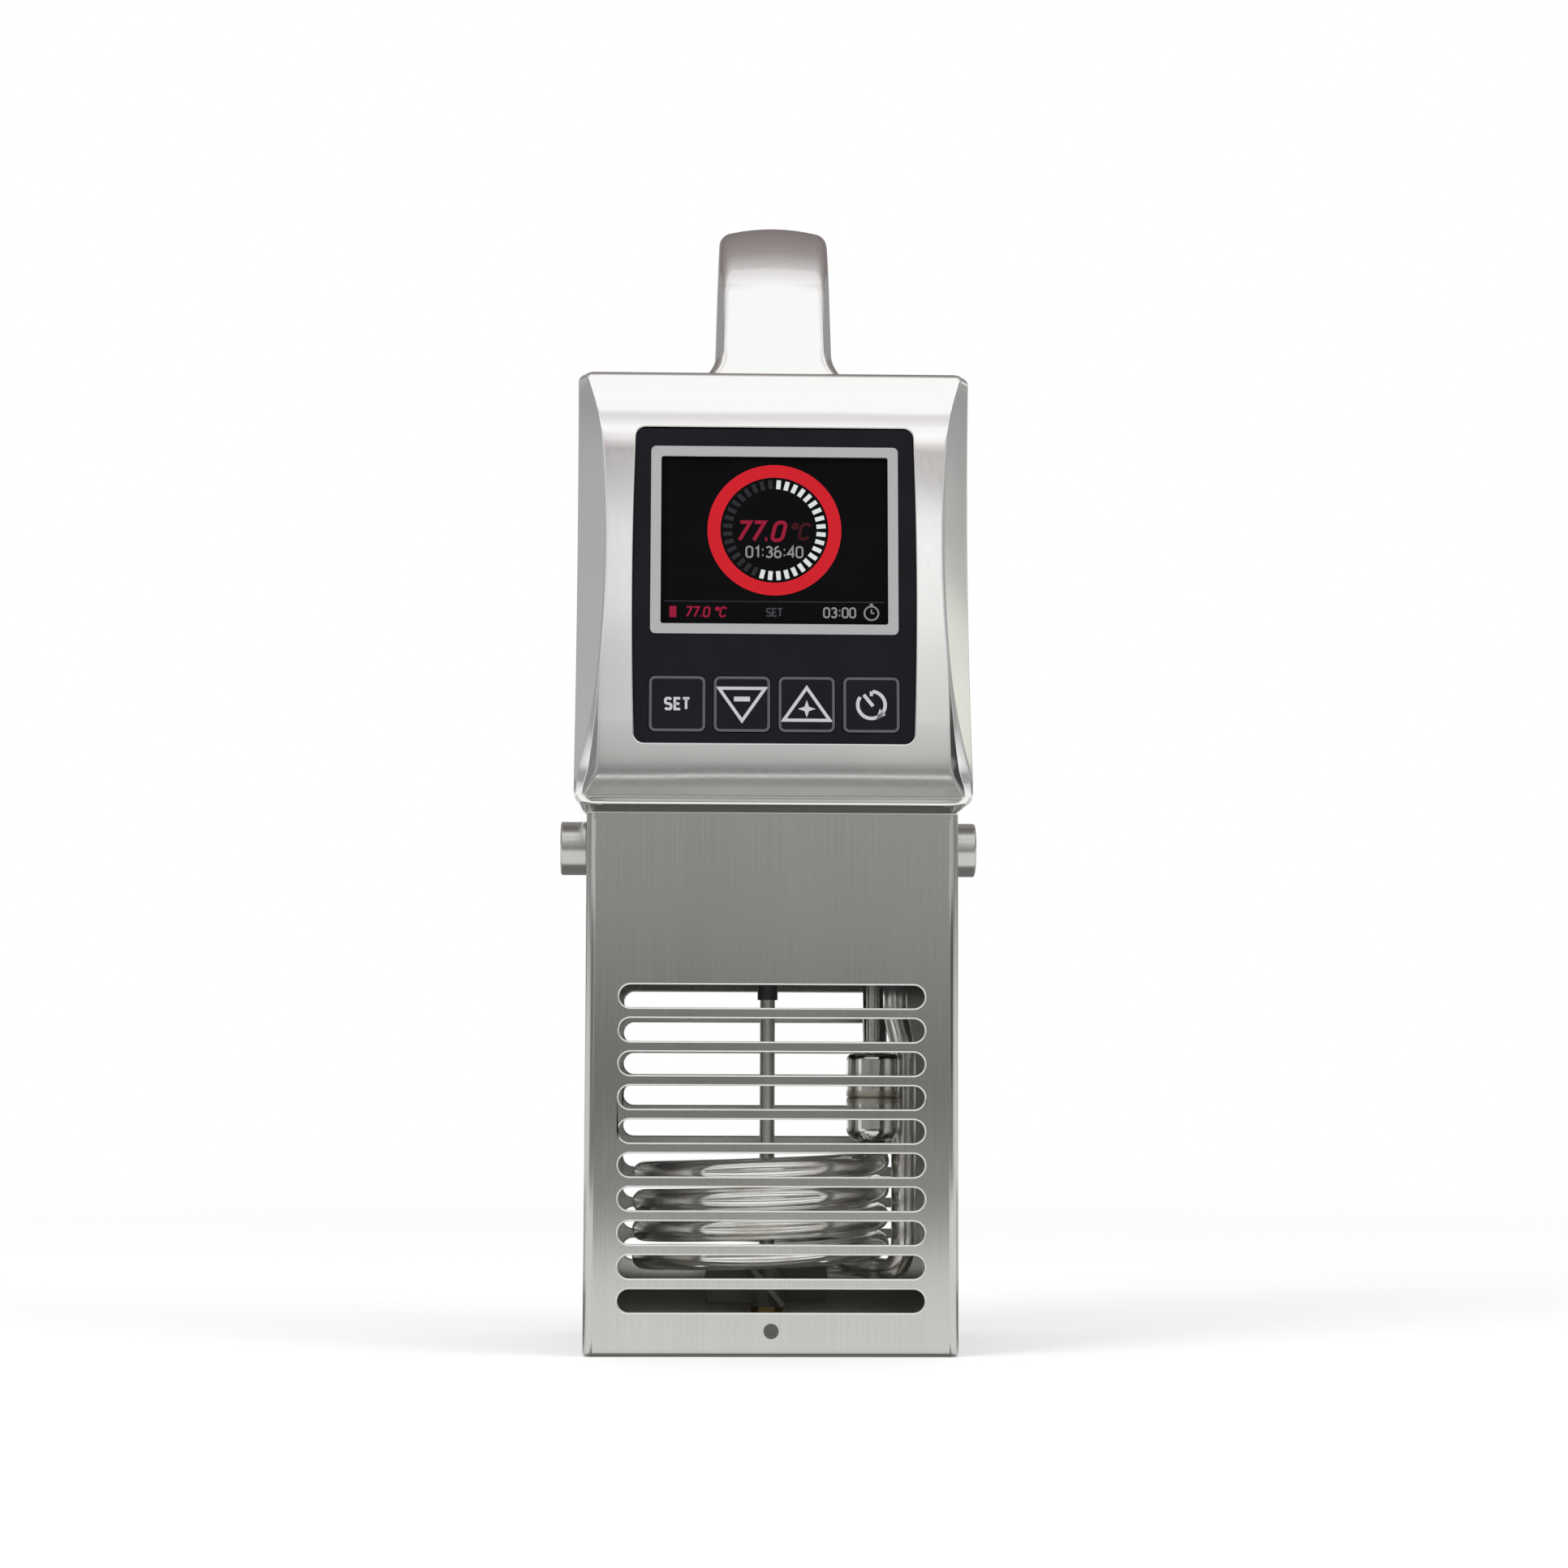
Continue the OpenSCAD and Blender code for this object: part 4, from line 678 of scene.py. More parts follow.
def swept_tube(name, path, radius, sides, material):
    """A round tube along a path. Each ring's first spoke is the last one's, turned square."""
    ways = np.gradient(path, axis=0)
    ways /= np.linalg.norm(ways, axis=1)[:, None]
    spokes = np.zeros_like(path)
    spoke = np.array([0.0, 1.0, 0.0])
    for i, way in enumerate(ways):
        spoke = spoke - way * (spoke @ way)
        spoke /= np.linalg.norm(spoke)
        spokes[i] = spoke
    turn = np.linspace(0, 2 * pi, sides, endpoint=False)[None, :, None]
    rings = path[:, None] + radius * (
        np.cos(turn) * spokes[:, None] + np.sin(turn) * np.cross(ways, spokes)[:, None]
    )
    walls = loop_walls(len(path), sides)[:, [0, 3, 2, 1]]
    last = (len(path) - 1) * sides
    caps = [tuple(range(sides)), tuple(range(last + sides - 1, last - 1, -1))]
    return mesh_piece(name, rings.reshape(-1, 3), walls.tolist() + caps, material)


tube_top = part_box("heater_coil")[1].z
coil_foot = coil_points(coil_start)[0]
lead = np.array([-sin(radians(coil_start - 90)), cos(radians(coil_start - 90)), 0])
coil_head = coil_points(coil_end)[0]
leg_foot = np.array([low_leg_x, leg_y, coil_z + leg_foot_rise])
heater_path = np.vstack((
    [[leg_x, leg_y, tube_top], [leg_x, leg_y, sleeve_z]],
    bezier((
        (leg_x, leg_y, sleeve_z), (leg_x, leg_y, sleeve_z - joggle_pulls[0]),
        (low_leg_x, leg_y, sleeve_z - joggle_pulls[1]), (low_leg_x, leg_y, sleeve_z - joggle),
    ), 12),
    [leg_foot],
    bezier((leg_foot, leg_foot - [0, 0, leg_pull], coil_foot - coil_pull * lead, coil_foot), 20),
    coil_points(np.arange(coil_start + coil_step, coil_end + 1, coil_step)),
    bezier((
        coil_head, coil_head + [0, rear_bend * 0.55, 0.0002],
        coil_head + [0, rear_bend, rear_bend * 0.45], coil_head + [0, rear_bend, rear_bend],
    ), 12),
    [[coil_head[0], coil_head[1] + rear_bend, tube_top]],
))
tube_steel = heated_steel()
heater_tube = swept_tube("heater_tube", heater_path, tube_r * tube_ease, tube_sides, tube_steel)
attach(heater_tube, "head")
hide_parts("heater_coil")
dress(tube_steel, "temperature_probe")


# Guard ---------------------------------------------------------------------------------
# Folded stainless sheet, brushed upright before the slots were cut, with a plate for a
# bottom. The side knobs clamp it to the collar.


def brushed_steel(name, colour):
    """Upright brushing: long thin lines that spread each reflection sideways."""
    material, shader, place = finish(name, colour, 0.17, 1.0, Anisotropic=0.9)
    lines = grain(place, (2600, 2600, 22), 4.0, 0.7)
    bands = grain(place, (60, 60, 9), 3.0)
    tone = 0.7 * lines + 0.3 * bands
    tone.spread(0.3, 0.7).varied(colour, 0.93, 1.06).into(shader, "Base Color")
    (0.13 + 0.08 * tone).into(shader, "Roughness")
    emboss(shader, lines, 0.000012)
    return material


guard_finish = brushed_steel("brushed_guard", (0.60, 0.598, 0.575))
dress(guard_finish, "guard_shell", "guard_bottom")
# Painted shade: the guard screws' colour is darkened for the shade on their heads.
dress(turned_steel("shade_darkened_screws", 1, (0.15, 0.15, 0.145), 0.3), "guard_screws")

# The slots' cut edges are broken with a file, so their rims catch the light, and the foot of
# the sheet is folded under. Its top rim stops short of the head, beside the collar.
filed_width = 0.00050
fold_r = 0.0010
rim_drop = 0.0010
bend_from = (0.0545, 0.0510)


def filed_steel():
    """Bare cut edge, rubbed with a file: pale, with fine uneven marks."""
    material, shader, place = finish("filed_rim", (0.80, 0.80, 0.78), 0.30, 0.50)
    marks = grain(place, (900, 900, 900), 2.0)
    (0.24 + 0.14 * marks).into(shader, "Roughness")
    return material


guard_sheet = bpy.data.objects.new("guard_sheet", bpy.data.meshes.new("guard_sheet"))
guard_sheet.data.materials.append(guard_finish)
guard_sheet.data.materials.append(filed_steel())
bpy.context.collection.objects.link(guard_sheet)
knit = bmesh.new()
knit.from_mesh(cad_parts["guard_shell"].data)
bmesh.ops.remove_doubles(knit, verts=knit.verts, dist=1e-6)
bmesh.ops.dissolve_limit(knit, angle_limit=radians(0.5), verts=knit.verts, edges=knit.edges)

# The foot's outer edges: one of the two faces at each looks away from the guard's middle.
fold = []
for edge in knit.edges:
    at = edge.verts[0].co
    outward = [f.normal.x * at.x + f.normal.y * at.y > 0.03 for f in edge.link_faces]
    if any(outward) and max(v.co.z for v in edge.verts) < 1e-5:
        fold.append(edge)
rim_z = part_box("guard_shell")[1].z
for corner in knit.verts:
    if corner.co.z > rim_z - 0.0002:
        corner.co.z = rim_z - rim_drop
bmesh.ops.bevel(knit, geom=fold, offset=fold_r, segments=4, profile=0.5, affect="EDGES")
for face in knit.faces:
    middle = face.calc_center_median()
    cornered = abs(middle.x) > bend_from[0] and abs(middle.y) > bend_from[1]
    face.smooth = (cornered and abs(face.normal.z) < 0.01) or 0.05 < abs(face.normal.z) < 0.95
    face.material_index = 0
knit.to_mesh(guard_sheet.data)
knit.free()
rims = guard_sheet.modifiers.new("rims", "BEVEL")
rims.width = filed_width
rims.segments = 2
rims.material = 1
rims.use_clamp_overlap = False
rims.limit_method = "ANGLE"
rims.angle_limit = radians(50)
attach(guard_sheet, "guard")
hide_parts("guard_shell")


# Head casting --------------------------------------------------------------------------
# One hollow casting in stainless steel, open below for the base plate. Its face leans back
# and its brow rolls over; a long scoop is ground down each side, and all is mirror polished.


def polished_steel():
    """Mirror polish with faint hairlines and long shallow waves."""
    material, shader, place = finish("polished_casting", (0.95, 0.95, 0.94), 0.08, 1.0)
    waves = grain(place, (16, 16, 16), 1.0)
    hairs = grain(place, (600, 600, 200), 2.0)
    (0.06 + 0.05 * hairs).into(shader, "Roughness")
    emboss(shader, waves, 0.0004)
    return material


polish = polished_steel()
lean = radians(5)
lip_drop = 0.0003
head_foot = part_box("head_shell")[0].z - lip_drop
head_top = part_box("head_shell")[1].z
half_width = 0.0624
wall = 0.0022

# Front, from the lip up: where each stretch begins, its slope, and half its turn's height.
lip_y = -0.0665
lip_z = head_foot + 0.002
lip_turn = 0.0008
chin_slope = -0.0015 / 0.013
chin_z = head_foot + 0.0156
chin_turn = 0.0105
brow_slope = 8 / 17
brow_z = head_top - 0.017
brow_turn = 0.009

# Back: upright as far as back_z, then leaning forward by back_lean up to the top.
back_low_y = 0.070
back_lean = 0.034
back_z = head_foot + 0.0566
back_turn = 0.003
top_end_y = 0.036
top_arc_r = 0.014

# Panel's middle and the scoops, whose cylinders are level with a place a little above it.
panel_y = -0.068 + 0.054 * tan(lean)
panel_z = head_foot + 0.0696
scoop_r = 0.474
scoop_tilt = radians(25)
scoop_x = 0.0532
scoop_rise = 0.012
crease_margin = 0.0016
crease_blend = 0.0006

# Rounded edges, and the rear window that the cover closes.
flank_r = 0.0034
rear_corner_r = 0.010
top_r = 0.0011
corner_r = 0.0026
foot_r = 0.0007
side_foot_r = 0.0036
edge_strip = 0.0034
cover_half = 0.042
cover_low = head_foot + 0.0146
cover_high = head_foot + 0.0426


def turned(z, corner, slope_in, slope_out, reach):
    """What a line of slope_in gains when it turns to slope_out round corner. The turn is
    spread evenly over reach on either side, so the gain is a parabola and then a line."""
    into = np.clip(z - corner + reach, 0, 2 * reach)
    return (slope_out - slope_in) * (into**2 / (4 * reach) + np.maximum(z - corner - reach, 0))


def face_depth(z):
    """Y of the front at height z: lip, chin, leaning face and brow, each turned into the next."""
    return (
        lip_y
        + turned(z, lip_z, 0, chin_slope, lip_turn)
        + turned(z, chin_z, chin_slope, tan(lean), chin_turn)
        + turned(z, brow_z, tan(lean), brow_slope, brow_turn)
    )


def back_depth(z):
    """Y of the back: upright, then sloping forward, then an arc of top_arc_r into the flat top."""
    slope = -back_lean / (head_top - back_z)
    leaning = back_low_y + turned(z, back_z, 0, slope, back_turn)
    angle = np.arctan2(head_top - back_z, back_lean)
    flat_end = top_end_y - top_arc_r * np.tan(angle / 2)
    drop = np.clip(z - head_top + top_arc_r, -top_arc_r, top_arc_r)
    arc_y = flat_end + np.sqrt(top_arc_r**2 - drop**2)
    return np.where(z < head_top - top_arc_r * (1 - np.cos(angle)), leaning, arc_y)


def scoop_width(y, z):
    """Half width that the scoop leaves. It is a cylinder of scoop_r whose axis lies across the
    corner of the face, so the width grows with depth and away from the scoop's middle."""
    up = (y - panel_y) * sin(lean) + (z - panel_z) * cos(lean)
    out = (z - panel_z) * sin(lean) - (y - panel_y) * cos(lean)
    sag = scoop_r - np.sqrt(scoop_r**2 - (up - scoop_rise) ** 2)
    return scoop_x + (sag - out * sin(scoop_tilt)) / cos(scoop_tilt)


def round_corner(corner, way_in, way_out, radius, steps):
    """Arcs that round one corner of many sections: each starts a tangent's length before the
    corner on way_in and turns evenly to way_out."""
    dot = np.sum(way_in * way_out, axis=1)
    turn = np.arccos(dot)
    radius = np.broadcast_to(radius, turn.shape)
    side = (way_out - dot[:, None] * way_in) / np.sin(turn)[:, None]
    start = corner - (radius * np.tan(turn / 2))[:, None] * way_in
    angle = turn[:, None] * np.linspace(0, 1, steps + 1)[None]
    along = (radius[:, None] * np.sin(angle))[..., None] * way_in[:, None]
    across = (radius[:, None] * (1 - np.cos(angle)))[..., None] * side[:, None]
    return start[:, None] + along + across


def between_points(start, end, shares):
    """Points at these shares of the way from start to end, row by row."""
    return start[:, None] + np.array(shares)[None, :, None] * (end - start)[:, None]


def grid_faces(rows, columns):
    """Quads of a grid of points that is stored row by row."""
    i, j = np.meshgrid(np.arange(rows - 1), np.arange(columns - 1), indexing="ij")
    corner = i * columns + j
    quads = np.stack((corner, corner + 1, corner + columns + 1, corner + columns), axis=-1)
    return quads.reshape(-1, 4)


# The section's levels: close together where the foot and the top roll over, even between
# them, with one at each edge of the window that the rear cover closes.
frame_low = head_foot + edge_strip
frame_high = head_top - edge_strip
levels = np.unique(np.round(np.concatenate((
    head_foot + foot_r * np.linspace(0, 1, 8) ** 2,
    np.linspace(head_foot + foot_r, frame_low, 7),
    np.linspace(frame_low, frame_high, 91),
    [cover_low, cover_high],
    head_top - edge_strip * np.linspace(1, 0, 15) ** 2,
)), 7))
levels[-1] = head_top


def rolled(radius, height):
    """How far an edge rounded by radius draws back at a height above where its arc begins."""
    risen = np.clip(height, 0, radius)
    return radius - np.sqrt(radius**2 - risen**2)


side_roll = rolled(corner_r, levels - head_top + corner_r)
side_roll += rolled(side_foot_r, head_foot + side_foot_r - levels)
front_roll = rolled(top_r, levels - head_top + top_r)
front_roll += rolled(foot_r, head_foot + foot_r - levels)
front_y = face_depth(levels)
back_y = back_depth(levels)

# The crease between face and scoop runs where the scoop leaves the face, and eases into a
# margin beside the flank where the scoop runs out.
widest = half_width - crease_margin
crease_x = widest - crease_blend * np.logaddexp(
    (widest - scoop_width(front_y, levels)) / crease_blend, 0
)
growth = cos(lean) * tan(scoop_tilt)
scoop_end = front_y + (half_width - crease_x) / growth
count = len(levels)
right = np.tile([1.0, 0.0], (count, 1))
rearward = np.tile([0.0, 1.0], (count, 1))
scoop_way = np.tile(np.array([growth, 1.0]) / np.hypot(growth, 1.0), (count, 1))
scoop_run = (half_width - crease_x) * np.hypot(1.0, 1 / growth)
flank_turn = np.arctan(1 / growth)
flank_tangent = flank_r * np.tan((pi / 2 - flank_turn) / 2)

# The crease is ground sharp beside the panel and softer towards the head's foot.
sharp_r = 0.0013
soft_gain = 0.0066
soft_top = 0.050
soft_run = 0.038
low_share = np.clip((head_foot + soft_top - levels) / soft_run, 0, 1)
crease_r = np.minimum(
    sharp_r + soft_gain * low_share**2, (0.9 * scoop_run - flank_tangent) / np.tan(flank_turn / 2)
)
crease = round_corner(np.column_stack((crease_x, front_y)), right, scoop_way, crease_r, 10)
flank_corner = np.column_stack((np.full(count, half_width), scoop_end))
flank = round_corner(flank_corner, scoop_way, rearward, flank_r, 5)
rear_corner = np.column_stack((np.full(count, half_width), back_y))
rear = round_corner(rear_corner, rearward, -right, rear_corner_r, 10)

# Half a section at each level, from the crease round the flank and the rear corner to the
# middle of the back. The other half mirrors it, and edges that roll over draw it back.
middle = np.column_stack((np.zeros(count), back_y))
window = np.column_stack((np.full(count, cover_half), back_y))
half_section = np.concatenate((
    crease,
    between_points(crease[:, -1], flank[:, 0], (0.05, 0.35, 0.65, 0.95)),
    flank,
    between_points(flank[:, -1], rear[:, 0], (0.03, 0.35, 0.65, 0.97)),
    rear,
    between_points(rear[:, -1], window, (0.05, 1.0)),
    between_points(window, middle, (0.5, 1.0)),
), axis=1)
section = np.concatenate((half_section, half_section[:, -2::-1] * (-1, 1)), axis=1)
section[..., 0] *= 1 - side_roll[:, None] / half_width
section[..., 1] += front_roll[:, None] * np.clip(-section[..., 1] / 0.05, 0, 1)
columns = section.shape[1]
shell_points = np.dstack((section, np.broadcast_to(levels[:, None], section.shape[:2])))
shell_faces = grid_faces(count, columns)
mid = shell_points.reshape(-1, 3)[shell_faces].mean(axis=1)
in_window = (
    (np.abs(mid[:, 0]) < cover_half) & (mid[:, 1] > 0.06)
    & (mid[:, 2] > cover_low) & (mid[:, 2] < cover_high)
)
shell_faces = shell_faces[~in_window]

# The front: strips below and above, and between them rings that shrink from the edge of the
# face to the panel's window, then roll over its lip. The window's sizes are from its
# middle, and its sides bulge outwards.
window_half = 0.0444
window_foot = 0.0435
window_bulge = 0.0009
window_tall = 0.0506
window_corner = 0.003
corner_steps = 6
top_fewer = 34
lip_r = 0.00045
lip_clear = 0.0001
lip_depth = 0.0018


def quarter_edge(grow, side_count):
    """A quarter of the panel's window, from its right middle up to its top middle: the bulging
    side, a corner of window_corner and the straight top. X and the height above the middle."""
    straight = window_tall - window_corner
    bend = np.radians(np.linspace(0, 90, 2 * corner_steps + 1))
    v = np.linspace(0, straight, side_count)[:-1]
    foot = window_foot + window_bulge * (1 - (straight / window_tall) ** 2)
    side = np.column_stack((window_half - window_bulge * (v / window_tall) ** 2 + grow, v))
    turn = np.column_stack((
        foot - window_corner + (window_corner + grow) * np.cos(bend),
        straight + (window_corner + grow) * np.sin(bend),
    ))
    x = np.linspace(foot - window_corner, 0, side_count - top_fewer)[1:]
    top = np.column_stack((x, np.full(len(x), window_tall + grow)))
    return side, turn, top


def window_ring(grow, depth):
    """The window's outline, one point for each point of the outer ring: up the right side,
    back along the top, down the left side and along the foot, each from mid corner to mid
    corner, and depth behind the face."""
    side, turn, top = quarter_edge(grow, len(inner_rows) // 2 - corner_steps + 1)
    half = np.concatenate((side, turn[:corner_steps + 1]))
    over = np.concatenate((turn[corner_steps + 1:], top))
    right = np.concatenate((half[:0:-1] * (1, -1), half))
    crown = np.concatenate((over, over[-2::-1] * (-1, 1)))
    loop = np.concatenate((right, crown, right[::-1] * (-1, 1), crown[::-1] * (1, -1)))
    z = panel_z + loop[:, 1] * cos(lean)
    return np.column_stack((loop[:, 0], face_depth(z) + depth * cos(lean), z - depth * sin(lean)))


# The outer ring takes one point of each level between the strips on either side, and evenly
# spaced ones along the crown and the foot.
inner_rows = np.flatnonzero((levels >= frame_low - 1e-9) & (levels <= frame_high + 1e-9))
crown_count = len(window_ring(0.0, 0.0)) // 2 - len(inner_rows)
strip = np.linspace(-1, 1, crown_count + 2)
edge_x = shell_points[:, 0, 0]
edge_y = shell_points[:, 0, 1]
low_rows = np.arange(0, inner_rows[0] + 1)
high_rows = np.arange(inner_rows[-1], count)


def strip_grid(rows):
    """Level rows of points from the left edge of the face to the right one."""
    return np.dstack((
        strip[None] * edge_x[rows][:, None],
        np.broadcast_to(edge_y[rows][:, None], (len(rows), len(strip))),
        np.broadcast_to(levels[rows][:, None], (len(rows), len(strip))),
    ))


ring_x = np.concatenate((
    edge_x[inner_rows], strip[-2:0:-1] * edge_x[inner_rows[-1]],
    -edge_x[inner_rows[::-1]], strip[1:-1] * edge_x[inner_rows[0]],
))
ring_z = np.concatenate((
    levels[inner_rows], np.full(crown_count, levels[inner_rows[-1]]),
    levels[inner_rows[::-1]], np.full(crown_count, levels[inner_rows[0]]),
))
outer_ring = np.column_stack((ring_x, face_depth(ring_z), ring_z))
first_ring = window_ring(lip_r + lip_clear, 0.0)
rings = []
for share in np.concatenate(([0.0, 0.02], np.linspace(0.06, 0.96, 22), [0.99, 1.0])):
    ring = outer_ring + share * (first_ring - outer_ring)
    ring[:, 1] = face_depth(ring[:, 2])
    rings.append(ring)
for turn in np.radians((18, 36, 54, 72, 90)):
    rings.append(window_ring(lip_r * (1 - sin(turn)) + lip_clear, lip_r * (1 - cos(turn))))
rings.append(window_ring(lip_clear, lip_depth))
rings = np.array(rings)
loop_count = rings.shape[1]
closed = np.concatenate((rings, rings[:, :1]), axis=1)

parts = (
    (shell_points.reshape(-1, 3), shell_faces),
    (strip_grid(low_rows).reshape(-1, 3), grid_faces(len(low_rows), len(strip))),
    (strip_grid(high_rows).reshape(-1, 3), grid_faces(len(high_rows), len(strip))),
    (closed.reshape(-1, 3), grid_faces(len(rings), loop_count + 1)),
)
points, faces = [], []
for part_points, part_faces in parts:
    faces += (part_faces + sum(len(p) for p in points)).tolist()
    points.append(part_points)
head_casting = mesh_piece("head_casting", np.concatenate(points), faces, polish)
knit = bmesh.new()
knit.from_mesh(head_casting.data)
bmesh.ops.remove_doubles(knit, verts=knit.verts, dist=2e-6)
lid = [
    edge for edge in knit.edges
    if edge.is_boundary and all(abs(v.co.z - head_top) < 1e-6 for v in edge.verts)
]
bmesh.ops.holes_fill(knit, edges=lid, sides=0)
bmesh.ops.recalc_face_normals(knit, faces=knit.faces)
for face in knit.faces:
    face.smooth = True
knit.to_mesh(head_casting.data)
knit.free()
thickness = head_casting.modifiers.new("wall", "SOLIDIFY")
thickness.thickness = wall
thickness.offset = -1
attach(head_casting, "head")
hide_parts("head_shell")


# Carry handle --------------------------------------------------------------------------
# A strap of the same polished steel, bent to a loop and screwed down from inside the head.
# Its top is crowned, its edges are rounded over, and its feet flare out.

strap_w = 0.0175
strap_t = 0.009
strap_crown = 0.0026
strap_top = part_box("handle")[1].z
edge_out = 0.0044
edge_in = 0.0016
front_foot = -0.04965
rear_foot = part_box("handle")[1].y

# Lean of each leg, how far its bend reaches along the lines on either side, and how the
# strap grows wider down its legs and at its feet.
front_lean = 0.2
rear_lean = 0.42
front_pulls = (0.0190, 0.0088)
rear_pulls = (0.0120, 0.0140)
taper_out = 0.0011
taper_z = 0.045
flare_out = 0.0028
flare_z = 0.0075


def strap_line():
    """Middle line of the strap from the front foot over the top to the rear foot, in Y and Z:
    straight legs, and two bends that tighten towards the level top. Each bend is a parabola
    whose control point is the corner of the lines that it joins."""
    front_way = np.array([front_lean, 1.0]) / np.hypot(front_lean, 1.0)
    rear_way = np.array([rear_lean, -1.0]) / np.hypot(rear_lean, 1.0)
    level = strap_top - strap_t / 2
    foot = head_top - wall
    front_in = strap_t / 2 * np.hypot(front_lean, 1.0)
    rear_in = strap_t / 2 * np.hypot(rear_lean, 1.0)
    front_y = front_foot + front_in
    rear_y = rear_foot - rear_in
    front_corner = np.array([front_y + front_lean * (level - head_top), level])
    rear_corner = np.array([rear_y - rear_lean * (level - head_top), level])
    bend = np.linspace(0, 1, 31)[:, None]
    over = np.array([1.0, 0.0])
    front_bow = front_pulls[0] * (1 - bend) ** 2 * front_way
    front_arc = front_corner - front_bow + front_pulls[1] * bend**2 * over
    rear_bow = rear_pulls[0] * (1 - bend) ** 2 * over
    rear_arc = rear_corner - rear_bow + rear_pulls[1] * bend**2 * rear_way
    start = np.array([front_y + front_lean * (foot - head_top), foot])
    end = np.array([rear_y - rear_lean * (foot - head_top), foot])
    rise = np.linspace(0, 1, 22)[1:-1, None]
    shares = np.concatenate(([0.0], 0.001 + 0.997 * (rise[:, 0] ** 1.5), [0.998]))[:, None]
    return np.vstack((
        start + shares * (front_arc[0] - start), front_arc,
        front_arc[-1] + np.array([[0.03], [0.5], [0.97]]) * (rear_arc[0] - front_arc[-1]),
        rear_arc, rear_arc[-1] + (1 - shares[::-1]) * (end - rear_arc[-1]),
    ))


line = strap_line()
ways = np.gradient(line, axis=0)
ways /= np.linalg.norm(ways, axis=1)[:, None]
outward = np.column_stack((-ways[:, 1], ways[:, 0]))

# Its section at each station, as X and the way out from the middle line: a flat underside,
# small inner edges, large outer edges, and a crown that grows towards the top.
above = line[:, 1] - head_top
flare = np.clip(1 - above / flare_z, 0, 1.3) ** 2.2
wide = strap_w + taper_out * np.clip(1 - above / taper_z, 0, 1) + flare_out * flare
crown = strap_crown * np.clip(outward[:, 1], 0, 1) ** 1.5
slope = 2 * crown * (wide - edge_out) / wide**2
last = pi / 2 - np.arctan(slope)
share = np.linspace(0, 1, 10)[None]
out_angle = share * last[:, None]
end_x = wide - edge_out * (1 - np.cos(last))
end_n = strap_t / 2 - crown * (end_x / wide) ** 2
out_x = end_x[:, None] + edge_out * (np.cos(out_angle) - np.cos(last)[:, None])
out_n = end_n[:, None] + edge_out * (np.sin(out_angle) - np.sin(last)[:, None])
over_x = end_x[:, None] * np.array([0.97, 0.75, 0.5, 0.25, 0.0])[None]
over_n = strap_t / 2 - crown[:, None] * (over_x / wide[:, None]) ** 2
in_angle = -pi / 2 * (1 - share)
in_x = (wide - edge_in)[:, None] + edge_in * np.cos(in_angle)
in_n = -strap_t / 2 + edge_in + edge_in * np.sin(in_angle)
under_x = in_x[:, :1] * np.array([0.0, 0.5, 0.97])[None]
under_n = np.full_like(under_x, -strap_t / 2)
side_x = np.concatenate((under_x, in_x, out_x, over_x), axis=1)
side_n = np.concatenate((under_n, np.broadcast_to(in_n, in_x.shape), out_n, over_n), axis=1)
strap_x = np.concatenate((side_x, -side_x[:, -2:0:-1]), axis=1)
strap_n = np.concatenate((side_n, side_n[:, -2:0:-1]), axis=1)
strap_points = np.dstack((
    strap_x,
    line[:, :1] + strap_n * outward[:, :1],
    line[:, 1:] + strap_n * outward[:, 1:],
))
stations, around = strap_x.shape
strap_faces = loop_walls(stations, around).tolist()
strap_faces += [tuple(range(around))[::-1], tuple(range((stations - 1) * around, stations * around))]
handle_strap = mesh_piece("handle_strap", strap_points.reshape(-1, 3), strap_faces, polish)
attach(handle_strap, "head")
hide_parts("handle")


# Control panel -------------------------------------------------------------------------
# A satin black moulding let into the polished face. Its four keys are caps of the same
# plastic with a pale printed outline and symbol.

panel_black = (0.0100, 0.0100, 0.0130)
dress(moulded_finish("panel_plastic", panel_black, 0.45, 0.07), "panel_plate")
dress(
    moulded_finish("key_plastic", panel_black, 0.48, 0.07),
    "key_set", "key_down", "key_up", "key_timer",
)

face_right = np.array([1.0, 0.0, 0.0])
face_up = np.array([0.0, sin(lean), cos(lean)])
face_out = np.array([0.0, -cos(lean), sin(lean)])
bezel_low, bezel_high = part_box("display_bezel")
display_middle = np.array((bezel_low + bezel_high) / 2)
key_drop = 0.0526
key_proud = 0.00035
key_row = display_middle - key_drop * face_up + key_proud * face_out
key_pitch = 0.0202
key_outline = 0.0167
key_corner = 0.0015
print_lift = 0.00003


def print_finish(name, colour, roughness=0.5):
    """Screen-printed ink with a slightly uneven edge of gloss."""
    material, shader, place = finish(name, colour, roughness, Specular_IOR_Level=0.1)
    speck = grain(place, (4000, 4000, 4000))
    speck.varied(colour, 0.9, 1.08).into(shader, "Base Color")
    (roughness - 0.05 + 0.1 * speck).into(shader, "Roughness")
    return material


def arc(centre, radius, start, end, count=24):
    """Points of a circle's arc, angles in degrees from the right, anticlockwise."""
    angle = np.radians(np.linspace(start, end, count))
    return np.column_stack((centre[0] + radius * np.cos(angle), centre[1] + radius * np.sin(angle)))


